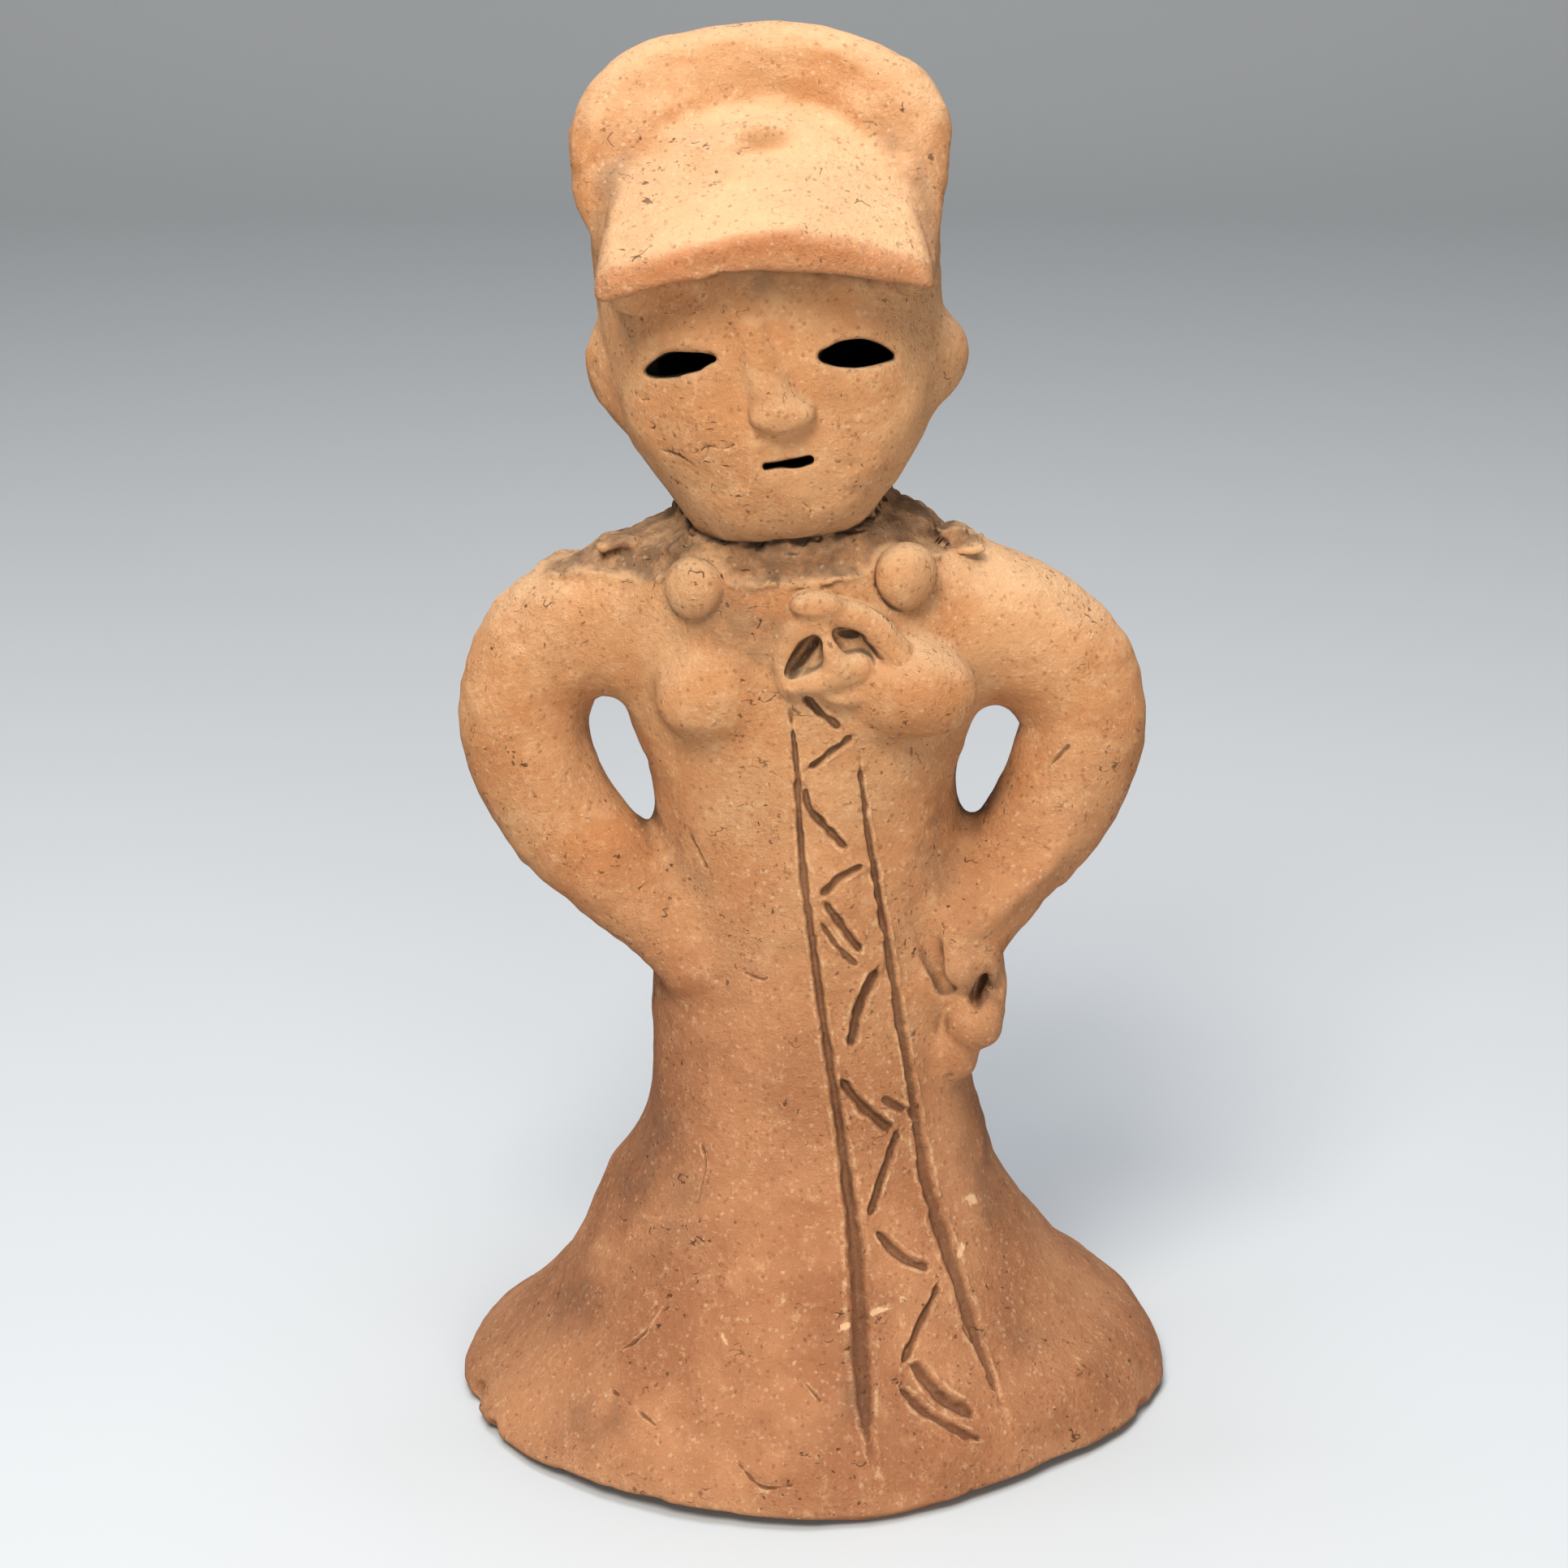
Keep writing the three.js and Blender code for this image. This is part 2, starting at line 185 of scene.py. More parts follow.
class Lump(Local):
    """An ellipsoid of clay, turned about Z by turn, about Y by lean and about X by nod."""

    def __init__(self, at, size, lean=0.0, nod=0.0, turn=0.0):
        self.centre = np.array(at, np.float32)
        self.size = np.array(size, np.float32)
        c, s = math.cos(turn), math.sin(turn)
        frame = np.array([[c, -s, 0], [s, c, 0], [0, 0, 1]])
        c, s = math.cos(lean), math.sin(lean)
        frame = frame @ np.array([[c, 0, s], [0, 1, 0], [-s, 0, c]])
        c, s = math.cos(nod), math.sin(nod)
        frame = frame @ np.array([[1, 0, 0], [0, c, -s], [0, s, c]])
        self.frame = frame.astype(np.float32)
        reach = float(self.size.max())
        self.bounded(self.centre - reach, self.centre + reach)

    def near(self, p):
        q = ((p - self.centre) @ self.frame) / self.size
        k = np.sqrt((q * q).sum(1)) + 1e-4
        slope = q / self.size
        return (k - 1) * k / (np.sqrt((slope * slope).sum(1)) + 1e-6)


class Noise:
    """Smooth seeded noise from -1 to 1 on a repeating lattice."""

    SIZE = 32

    def __init__(self, seed):
        self.cells = np.random.default_rng(seed).uniform(-1, 1, (self.SIZE,) * 3).astype(np.float32)

    def __call__(self, p, scale):
        q = p / np.asarray(scale, np.float32) + 7.3
        base = np.floor(q)
        f = (q - base).astype(np.float32)
        f = f * f * f * (f * (f * 6 - 15) + 10)
        low = base.astype(np.int64) % self.SIZE
        high = (low + 1) % self.SIZE
        total = np.zeros(len(p), np.float32)
        for i in range(8):
            bits = (i & 1, i >> 1 & 1, i >> 2 & 1)
            x, y, z = (high[:, k] if bit else low[:, k] for k, bit in enumerate(bits))
            share = np.ones(len(p), np.float32)
            for k, bit in enumerate(bits):
                share *= f[:, k] if bit else 1 - f[:, k]
            total += share * self.cells[x, y, z]
        return total * 1.5


# ---- the body
WALL = 6.2
BODY = Loft([
    # z, half-width, half-depth, lean
    (-6, 50, 48, 0),
    (0, 55, 53, 0),
    (3, 56, 54, 0),
    (10, 50.2, 49.6, 1.9),
    (18.2, 41.3, 41.2, 0.3),
    (26.7, 35.8, 34, -0.9),
    (35, 31.4, 28.4, -1.8),
    (43.5, 27.1, 24.8, -0.6),
    (54, 24.9, 22.4, -0.9),
    (72, 24.2, 20.6, -1.1),
    (90, 23.9, 19.6, -1.4),
    (99, 23.5, 19.4, -1.7),
    (108, 25.2, 19.6, -2.3),
    (120, 28, 20.2, -3.2),
    (129, 27, 20.6, -4),
    (135.5, 24.6, 20.4, -4),
    (139.5, 21.6, 19.4, -3.6),
    (143, 17.8, 17, -3),
    (147, 14.4, 14.2, -4),
    (158, 13, 13, -5.6),
])
RIM_FLAT_TOWARDS = math.radians(-48)  # the rim is a little flat here
RIM_FLAT_DEPTH = 5.2
RIM_FLAT_TOP = 30

ARMS = Roll([
    # x, y, z, radius, from the right hand over the shoulders to the left hand
    (-19.2, -10.5, 74.5, 5.2),
    (-24.2, -8, 80.5, 6.6),
    (-31.3, -5, 87.4, 8.1),
    (-38.6, -1.5, 94, 9),
    (-43.4, 0, 102, 9.5),
    (-45, 1, 111, 9.7),
    (-41.4, 1, 121, 10.6),
    (-30.5, 0, 127.6, 11.4),
    (-15, 0, 130.6, 11.6),
    (-3, 0, 131.2, 11.6),
    (9, 0, 130, 11.6),
    (24, 0, 126.4, 11.4),
    (35.6, 1, 120.4, 10.6),
    (41, 1, 111, 9.6),
    (38.9, 0, 102, 9.5),
    (34.5, -1.5, 93.6, 9.1),
    (28.8, -4.5, 85.8, 7.3),
    (23.6, -8, 78.5, 6.1),
    (22.6, -9.4, 73.5, 5.4),
], steps=3)
# how softly the arms run into the body: at the shoulders, at the right and at the left side of the waist
SHOULDER_BLEND, WAIST_BLENDS = 6.5, (3.8, 7.0)

RIGHT_BEAD_AT, LEFT_BEAD_AT = (-18.4, -17.8, 135.6), (12.9, -16.2, 136.9)  # the two large beads

# (blend, lump) in the order they are pressed on
BODY_LUMPS = [
    (4, Lump((-16.8, -16.6, 118.2), (7.4, 5.2, 6.6))),  # right breast
    (3.4, Lump((13.8, -16.8, 119.6), (9.6, 6.8, 7), lean=0.1)),  # left breast
    (1.2, Lump(RIGHT_BEAD_AT, (4.2, 3, 4.2), turn=-0.5)),
    (1, Lump((-0.5, -21.8, 133.9), (4, 2.6, 2.1))),  # middle bead
    (0.2, Lump(LEFT_BEAD_AT, (4.8, 3.2, 4.6), turn=0.6)),
    # pellets on the shoulders
    (0.15, Roll([(-31.8, -6.4, 138.6, 1.2), (-30.6, -6.2, 139.4, 1.6), (-29.8, -6.2, 139.4, 1.3)])),
    (0.15, Roll([(-29, -6.2, 139.5, 1.3), (-27.8, -6.2, 139.4, 1.6), (-27, -6.2, 139, 1.2)])),
    (0.15, Roll([(18.6, -6.2, 140.8, 1.5), (20.6, -6.2, 140.5, 1.9), (23, -6.2, 139.4, 1.6)])),
    (2.5, Lump((13.2, -2, 142.2), (3.4, 4.5, 2.2))),  # peak of the collar
]

# The sash knot: a pinched ring of clay with an upright tab and a hollow each side of it.
KNOT_RING = Roll([
    (-4.6, -20.2, 121.2, 1.6),
    (-5.2, -20.5, 124.6, 2),
    (-3.6, -20.8, 129, 2.1),
    (0.4, -21, 131.8, 2),
    (4.6, -20.6, 132.2, 1.9),
    (8.6, -19.9, 129.6, 1.9),
    (11.2, -19.6, 126.4, 2),
])
KNOT_FOLDS = [
    (1.4, Roll([(0.3, -21.8, 131.6, 1.1), (1.1, -22.6, 128.8, 1.2), (2.6, -22.4, 125, 1.8)])),  # tab
    (2, Roll([(-4.2, -20.8, 121.4, 1.6), (0.5, -21.9, 122.6, 2), (5.4, -21.2, 124.4, 2.2)])),
    (1.6, Roll([(0.4, -20.8, 120.8, 1.2), (3.6, -21, 119.8, 1.3), (7, -20.6, 121, 1.2)])),
]
KNOT_HOLLOWS = [
    (0.6, Lump((-2.3, -22, 126.1), (1.25, 4.2, 3.5), lean=0.66)),
    (0.6, Lump((4.8, -21.6, 129.2), (2.3, 4.2, 1.15), lean=0.15)),
]

# The left hand: the forearm's end curls round a deep hole to a round fist.
FOREARM_RIDGE = Roll([
    (37.6, -8, 94, 1.2),
    (33.8, -10.2, 89.2, 1.8),
    (27.6, -12.2, 84.6, 2.2),
    (21.6, -13.2, 79.4, 2.4),
    (20.4, -13.4, 74.6, 2.6),
])
HAND = [
    (2.6, FOREARM_RIDGE),
    (1.6, Roll([(26.2, -6.6, 76.2, 2), (27.4, -8, 70.8, 1.7), (26.8, -10, 66.4, 2.2)])),
    (1.6, Lump((24.2, -12.4, 65), (4.4, 4.8, 4.6), lean=-0.25)),
    (2.4, Lump((21.4, -10.6, 59.6), (4, 3.8, 4.6), lean=-0.3)),
]
HAND_HOLE = (0.5, Lump((24.9, -13.4, 71.0), (1.7, 5.4, 3.1), lean=0.30))
FOREARM_FOLD = (1.6, Roll([(15.2, -15.4, 84.5, 0.7), (17.2, -14.6, 78.5, 1.5), (19.8, -13.8, 71.8, 1.5)]))
FOLDS_UNDER_HAND = [
    (0.6, Roll([(20.4, -13.2, 56.4, 0.45), (19.8, -13.6, 52.6, 0.3)])),
    (0.6, Roll([(22.2, -11, 55.8, 0.5), (21.8, -11.6, 51.4, 0.3)])),
    (0.6, Roll([(23.6, -8.6, 56.6, 0.5), (23.4, -9, 53, 0.3)])),
]

# Chips off the rim: places on it and how big they are.
RIM_CHIPS = [
    Lump((-55.2, -14.5, 2.6), (2.8, 3.4, 3), lean=0.4),
    Lump((-50.6, -24, 0.8), (2.4, 2.4, 2)),
    Lump((-27.4, -48.6, 0.6), (5, 2, 1.6), lean=-0.2),
    Lump((52.4, -17.6, 0.8), (2.4, 2.8, 2.2)),
    Lump((33, -40.6, 0), (3.5, 2, 1.4)),
    Lump((12, 54.4, 0.4), (4.2, 2.4, 2.2)),
    Lump((-44.4, 33.4, 0), (3, 3, 1.8)),
]


def rim_flat(p):
    """How far the skirt stands in at the flat of the rim."""
    angle = np.arctan2(p[:, 1], p[:, 0])
    towards = np.maximum(np.cos(angle - RIM_FLAT_TOWARDS), 0) ** 8
    return RIM_FLAT_DEPTH * towards * np.clip(1 - p[:, 2] / RIM_FLAT_TOP, 0, 1)


def body_field(p):
    d = BODY(p) + rim_flat(p)
    d = smooth_both(d, p[:, 2] - 158, 1.0)
    waist = np.where(p[:, 0] < 0, *WAIST_BLENDS)
    blend = waist + (SHOULDER_BLEND - waist) * smoothstep(104, 122, p[:, 2])
    d = smooth_union(d, ARMS(p), blend)
    for blend, lump in BODY_LUMPS + HAND:
        d = smooth_union(d, lump(p), blend)
    d = smooth_union(d, KNOT_RING(p), 1.2)
    for blend, fold in KNOT_FOLDS:
        d = smooth_union(d, fold(p), blend)
    for blend, hollow in KNOT_HOLLOWS + [HAND_HOLE, FOREARM_FOLD] + FOLDS_UNDER_HAND:
        d = smooth_cut(d, hollow(p), blend)
    return d


# ---- the head, in its own frame
HEAD_AT = np.array([-6.6, -1.0, 165.0], np.float32)
HEAD_ROLL = math.radians(-3.8)

SKULL = Loft([
    (-24.5, 5, 7, 0),
    (-23.2, 9.5, 12, 0),
    (-21.5, 13.4, 17.5, 0),
    (-18, 15.9, 21.5, 0.4),
    (-12, 20.1, 24, 0.7),
    (-4, 23.8, 25.2, 0.3),
    (5, 24.8, 25, 0),
    (16, 24.3, 24.2, 0),
    (27, 23.5, 22.5, 0),
    (36, 15, 14, 0),
], power=2.6)
NAPE = Loft([
    (-18, 10, 9, 0),
    (-4, 20, 16, 0),
    (12, 23.6, 17, 0),
    (24, 24.6, 15, 0),
    (34, 23.4, 12.8, 0),
    (42, 20, 12.2, 0.4),
    (46, 15, 9, 0.8),
    (48, 12, 6, 1),
], power=2.6, y=8.5)
TOPKNOT_ROLL = Roll([
    (-19.6, -20, 16.5, 3),
    (-19.8, -15.5, 22, 3.9),
    (-21.8, -8.5, 30, 5.2),
    (-21.2, -4.4, 38, 5.4),
    (-15.8, -1.2, 43.2, 5.2),
    (-6.5, 0.7, 45.4, 4.9),
    (1.5, 1, 45.8, 4.8),
    (9.5, 0.4, 44.9, 4.8),
    (16.4, -1.6, 42.4, 5.2),
    (21.4, -4.4, 37.8, 5.5),
    (22.4, -8.5, 30, 5.2),
    (21.4, -15.5, 22, 4.1),
    (20.8, -20, 16.5, 3.4),
])
ROLL_FOOT = Roll([
    (-19.6, -10, 29.5, 4.8),
    (-15.4, -4.2, 37.2, 5.6),
    (-6.8, 0.6, 40.6, 5.6),
    (1.5, 1.2, 41.2, 5.6),
    (9.4, 0.4, 40.2, 5.6),
    (16, -4.2, 36.8, 5.6),
    (20, -10, 29, 4.8),
])
# The fan: the hair's flat front over the brow.
FAN_HALF_WIDTH = 24.0
FAN_FRONT, FAN_BACK = -31.8, -3.2
FAN_LIP_TOP = 25.2
FAN_LIP_THICK = 5.2
FAN_RISE = 0.53
FAN_TILT = 0.03  # its left side hangs a little lower than the head's own tilt
FAN_ROUND = 2.3

HEAD_LUMPS = [
    (4, Lump((-22.9, -3, 1.2), (4.4, 6.5, 6.6), lean=-0.35)),  # right ear
    (4, Lump((23.6, -3, 0.4), (4.8, 6.5, 6.2), lean=0.38)),  # left ear
    # the nose: its bridge and its tip
    (1.5, Roll([(-2.4, -24, 10.4, 2), (-1.2, -24.8, 4.8, 2.7), (0.8, -25.2, -0.2, 3.6)])),
    (1, Lump((1.3, -25.8, -1.6), (4.9, 3.2, 3))),
    # the tie of the hair
    (0.9, Roll([(-5, -11.4, 34.6, 1.3), (0.8, -12, 36, 2.3), (6.8, -11.4, 34.4, 1.3)])),
]
TIE_HOLLOW = (1.2, Lump((0.8, -16.0, 35.4), (5.0, 2.0, 2.0)))

# Slits cut through the face: centre, half-length, rise of the upper and lower edge, tilt.
EYES = [(-12.8, 6.2, 6.1, 2.7, 1.7, 0.12), (12.3, 5.7, 6.1, 2.7, 1.6, -0.06)]
MOUTH = (1.4, -8.9, 3.1, 0.62, 0.07)
CUT_SLOPE = math.tan(math.radians(12))  # the stick went in sloping down
CUT_FROM = -25.0  # the slits' shapes are drawn at this depth
CUT_TO = -12.0
EYE_ROUNDING, MOUTH_ROUNDING = 0.9, 0.5


def to_head(p):
    x, z = p[:, 0] - HEAD_AT[0], p[:, 2] - HEAD_AT[2]
    c, s = math.cos(HEAD_ROLL), math.sin(HEAD_ROLL)
    return np.stack([x * c - z * s, p[:, 1] - HEAD_AT[1], x * s + z * c], 1)


def from_head(x, z):
    """The point (x, z) of the head's frame in the whole figure's frame."""
    c, s = math.cos(HEAD_ROLL), math.sin(HEAD_ROLL)
    return x * c + z * s + HEAD_AT[0], z * c - x * s + HEAD_AT[2]


def fan_edge(q):
    """About how far a point is outside the fan's rounded border, seen from above."""
    across = np.abs(q[:, 0]) / FAN_HALF_WIDTH
    back = np.clip((q[:, 1] - FAN_FRONT) / (FAN_BACK - FAN_FRONT), 0, 1.5)
    return ((across**FAN_ROUND + back**FAN_ROUND) ** (1 / FAN_ROUND) - 1) * FAN_HALF_WIDTH


def fan_field(q):
    """The fan over the brow: a half disc that slopes down to a thick, nearly straight lip."""
    x, y = q[:, 0], q[:, 1]
    width = np.minimum((x / FAN_HALF_WIDTH) ** 2, 1.3)
    back = np.clip((y - FAN_FRONT) / (FAN_BACK - FAN_FRONT), 0, 1.5)
    lip = FAN_FRONT + 3.6 * width**2
    top = FAN_LIP_TOP + (y - FAN_FRONT) * FAN_RISE - (9.2 - 7 * back) * width - FAN_TILT * x
    bottom = FAN_LIP_TOP - FAN_LIP_THICK - 4.3 * width - FAN_TILT * x
    d = smooth_both(fan_edge(q), (q[:, 2] - top) / math.hypot(1, FAN_RISE), 2.5)
    d = smooth_both(d, lip - y, 1.3)
    return smooth_both(d, bottom - q[:, 2], 1.2)


def slit_field(q, x, z, shape):
    """A slit's section carried along the way the stick went in."""
    fall = (q[:, 1] - CUT_FROM) * CUT_SLOPE
    d = shape(q[:, 0] - x, q[:, 2] - z + fall)
    return np.maximum(d, q[:, 1] - CUT_TO)


def almond(half, up, down, tilt):
    """The lens between an upper and a lower arc through the same two corners."""
    c, s = math.cos(tilt), math.sin(tilt)

    def shape(x, z):
        u, v = x * c + z * s, z * c - x * s
        sides = []
        for rise, sign in ((up, 1), (down, -1)):
            radius = (half**2 + rise**2) / (2 * rise)
            sides.append(np.hypot(u, v - sign * (rise - radius)) - radius)
        return smooth_both(*sides, 1.6)

    return shape


def bar(half, radius, tilt):
    c, s = math.cos(tilt), math.sin(tilt)
    return lambda x, z: np.hypot(np.maximum(np.abs(x * c + z * s) - half, 0), z * c - x * s) - radius


def head_field(p):
    near = p[:, 2] > HEAD_AT[2] - 34
    d = np.full(len(p), 8.0, np.float32)
    if not near.any():
        return d
    q = to_head(p[near])
    h = smooth_both(SKULL(q), -24.0 - q[:, 2], 2.0)
    h = smooth_both(h, q[:, 2] - 36, 2.0)
    nape = smooth_both(smooth_both(NAPE(q), -18 - q[:, 2], 3.0), q[:, 2] - 47, 3.0)
    h = smooth_union(h, nape, 6.0)
    h = smooth_union(h, TOPKNOT_ROLL(q), 2.5)
    h = smooth_union(h, ROLL_FOOT(q), 2.5)
    h = smooth_union(h, fan_field(q), 0.9 + 1.5 * smoothstep(-26, -8, q[:, 1]))
    for blend, lump in HEAD_LUMPS:
        h = smooth_union(h, lump(q), blend)
    h = smooth_cut(h, TIE_HOLLOW[1](q), TIE_HOLLOW[0])
    d[near] = h
    return d


# ---- the hollow and the whole
THROAT_X, THROAT_RADIUS = -5.4, 7.0
TRUNK_HOLLOW_TOP = 130.0
HEAD_HOLLOW = (-14.0, 24.0)  # its floor and its top, in the head's frame


def hollow_field(p):
    trunk = BODY(p) + rim_flat(p) + WALL
    trunk = smooth_both(trunk, p[:, 2] - TRUNK_HOLLOW_TOP, 6.0)
    throat = np.hypot(p[:, 0] - THROAT_X, p[:, 1]) - THROAT_RADIUS
    throat = np.maximum(throat, np.abs(p[:, 2] - 137) - 16)
    d = smooth_union(trunk, throat, 4.0)
    near = p[:, 2] > HEAD_AT[2] - 24
    if near.any():
        q = to_head(p[near])
        low, high = HEAD_HOLLOW
        skull = np.maximum(SKULL(q) + WALL, np.maximum(low - q[:, 2], q[:, 2] - high))
        d[near] = smooth_union(d[near], skull, 4.0)
    return d


RIM_NOISE = Noise(11)
# Where the rim stands clear of the table: angle, reach, height.
RIM_LIFTS = [(-2.15, 0.30, 1.7), (-0.75, 0.32, 1.5), (0.9, 0.4, 1.2)]


def foot_level(p):
    """The underside of the rim: flat where it stands, lifted a little here and there."""
    angle = np.arctan2(p[:, 1], p[:, 0])
    ring = np.stack([np.cos(angle), np.sin(angle), np.zeros_like(angle)], 1)
    lift = 0.9 * RIM_NOISE(ring, 0.45)
    for where, reach, height in RIM_LIFTS:
        lift += height * np.exp(-(((angle - where) / reach) ** 2))
    return np.clip(lift, 0, 1.9)


SEAM_NOISE = Noise(12)


def neck_seam(p, body, head):
    """The gap left round the neck where the head was set on the body."""
    near = (body < 4) & (head < 4) & (p[:, 2] > 136) & (p[:, 2] < 152)
    d = np.full(len(p), 4, np.float32)
    ragged = 0.34 * SEAM_NOISE(p[near], 2.0) + 0.24 * SEAM_NOISE(p[near], 0.9)
    front = smoothstep(-6, -14, p[near][:, 1])
    d[near] = np.hypot(body[near] + 0.3, head[near] - 0.1) - (0.26 + 0.22 * front + ragged)
    return d


def slits_at(q):
    """The fields of the eyes and the mouth, each with the rounding of its edge."""
    for x, z, *shape in EYES:
        yield slit_field(q, x, z, almond(*shape)), EYE_ROUNDING
    x, z, *shape = MOUTH
    yield slit_field(q, x, z, bar(*shape)), MOUTH_ROUNDING


FACE_FOOT, FACE_TOP, FACE_BACK = 150, 182, -8  # its z from and to, and the y it stands in front of


def facing(p):
    """Which points lie in the front of the head."""
    return np.flatnonzero((p[:, 2] > FACE_FOOT) & (p[:, 2] < FACE_TOP) & (p[:, 1] < FACE_BACK))


def figure_field(p):
    body, head = body_field(p), head_field(p)
    d = smooth_union(body, head, 0.8)
    d = smooth_cut(d, neck_seam(p, body, head), 0.4)
    d = smooth_cut(d, hollow_field(p), 1.5)
    face = facing(p)
    for slit, rounding in slits_at(to_head(p[face])):
        d[face] = smooth_cut(d[face], slit, rounding)
    low = np.flatnonzero(p[:, 2] < 8)
    if len(low):
        rim = smooth_both(d[low], foot_level(p[low]) - p[low, 2], 1.6)
        for chip in RIM_CHIPS:
            rim = smooth_cut(rim, chip(p[low]), 0.8)
        d[low] = rim
    return d


def in_parallel(work, points, chunk=60000):
    """work(points) in pieces, on several threads."""
    pieces = [points[i : i + chunk] for i in range(0, len(points), chunk)]
    with ThreadPoolExecutor(WORKERS) as pool:
        return np.concatenate(list(pool.map(work, pieces)))


# ---- from field to mesh
def sampled(field, low, high, step):
    """The field on a grid: exact near the surface, and only its sign further off."""
    block = 4
    side = block * step
    counts = np.ceil((high - low) / side).astype(int)
    index = np.stack(np.meshgrid(*(np.arange(n) for n in counts), indexing="ij"), -1).reshape(-1, 3)
    centre = (low + (index + 0.5 - 0.5 / block) * side).astype(np.float32)
    rough = in_parallel(field, centre)
    reach = side * math.sqrt(3) / 2 * 1.3 + 0.4
    keep = np.abs(rough) < reach
    values = np.where(rough < 0, -9, 9).astype(np.float32).reshape(counts)
    for axis in range(3):
        values = np.repeat(values, block, axis)
    inner = np.stack(np.meshgrid(*(np.arange(block),) * 3, indexing="ij"), -1).reshape(-1, 3)
    spots = (index[keep][:, None] * block + inner).reshape(-1, 3)
    points = (low + spots * step).astype(np.float32)
    values[tuple(spots.T)] = in_parallel(field, points)
    return values


def surface_net(values, low, step):
    """Vertices and quads of the zero surface: one vertex in each cell that it crosses."""
    inside = values < 0
    corners = np.array([(i, j, k) for i in (0, 1) for j in (0, 1) for k in (0, 1)])
    shape = np.array(values.shape) - 1
    count = np.zeros(shape, np.uint8)
    for i, j, k in corners:
        count += inside[i : i + shape[0], j : j + shape[1], k : k + shape[2]]
    crossed = (count > 0) & (count < 8)
    cell = np.argwhere(crossed)
    number = np.full(shape, -1, np.int32)
    number[crossed] = np.arange(len(cell))
    at = np.stack([values[tuple((cell + corner).T)] for corner in corners], 1)
    total, hits = np.zeros((len(cell), 3)), np.zeros(len(cell))
    for a in range(8):
        for b in range(a + 1, 8):
            if np.abs(corners[a] - corners[b]).sum() != 1:
                continue
            crossing = (at[:, a] < 0) != (at[:, b] < 0)
            t = at[crossing, a] / (at[crossing, a] - at[crossing, b])
            total[crossing] += corners[a] + t[:, None] * (corners[b] - corners[a])
            hits[crossing] += 1
    points = low + step * (cell + total / hits[:, None])
    quads = []
    for axis in range(3):
        u, v = np.eye(3, dtype=int)[(axis + 1) % 3], np.eye(3, dtype=int)[(axis + 2) % 3]
        ahead = np.eye(3, dtype=int)[axis]
        base = inside[: shape[0], : shape[1], : shape[2]]
        i, j, k = ahead
        next_one = inside[i : i + shape[0], j : j + shape[1], k : k + shape[2]]
        edge = np.argwhere(base != next_one)
        edge = edge[(edge @ (u + v) > 0) & ((edge - u - v).min(1) >= 0)]
        ring = [number[tuple((edge - offset).T)] for offset in (u + v, v, 0 * u, u)]
        quad = np.stack(ring, 1)
        leaving = inside[tuple(edge.T)]
        quad[~leaving] = quad[~leaving][:, ::-1]
        quads.append(quad)
    return points, np.concatenate(quads)


def triangles_of(points, quads):
    """Each quad cut along its shorter diagonal."""
    first = np.linalg.norm(points[quads[:, 0]] - points[quads[:, 2]], axis=1)
    second = np.linalg.norm(points[quads[:, 1]] - points[quads[:, 3]], axis=1)
    turned = np.where((first <= second)[:, None], quads, np.roll(quads, -1, 1))
    return np.concatenate([turned[:, [0, 1, 2]], turned[:, [0, 2, 3]]])


def refined(points, faces, chosen):
    """The mesh with each chosen triangle in four, and the ones beside it split to match."""
    sides = np.sort(np.stack([faces, np.roll(faces, -1, 1)], 2), 2).astype(np.int64)
    key = sides[..., 0] * len(points) + sides[..., 1]
    wanted = np.unique(key[chosen])
    split = np.isin(key, wanted)
    middle = len(points) + np.searchsorted(wanted, key)
    start, end = np.divmod(wanted, len(points))
    whole = split.all(1)
    a, b, c = faces[whole].T
    ab, bc, ca = middle[whole].T
    made = [faces[~split.any(1)]]
    made += [np.stack(corners, 1) for corners in ((a, ab, ca), (ab, b, bc), (ca, bc, c), (ab, bc, ca))]
    for turn in range(3):
        f, m, cut = (np.roll(rows, -turn, 1) for rows in (faces, middle, split))
        one = cut[:, 0] & ~cut[:, 1] & ~cut[:, 2]
        a, b, c, ab = f[one, 0], f[one, 1], f[one, 2], m[one, 0]
        made += [np.stack(corners, 1) for corners in ((a, ab, c), (ab, b, c))]
        two = ~cut[:, 0] & cut[:, 1] & cut[:, 2]
        a, b, c, bc, ca = f[two, 0], f[two, 1], f[two, 2], m[two, 1], m[two, 2]
        made += [np.stack(corners, 1) for corners in ((a, b, bc), (a, bc, ca), (ca, bc, c))]
    return np.vstack([points, (points[start] + points[end]) / 2]), np.concatenate(made)


def normals_of(points, faces):
    """Vertex normals, each face counted by its area."""
    a, b, c = (points[faces[:, corner]] for corner in range(3))
    facing = np.cross(b - a, c - a)
    total = np.zeros_like(points)
    for corner in range(3):
        for axis in range(3):
            total[:, axis] += np.bincount(faces[:, corner], facing[:, axis], len(points))
    return total / np.maximum(np.linalg.norm(total, axis=1, keepdims=True), 1e-9)


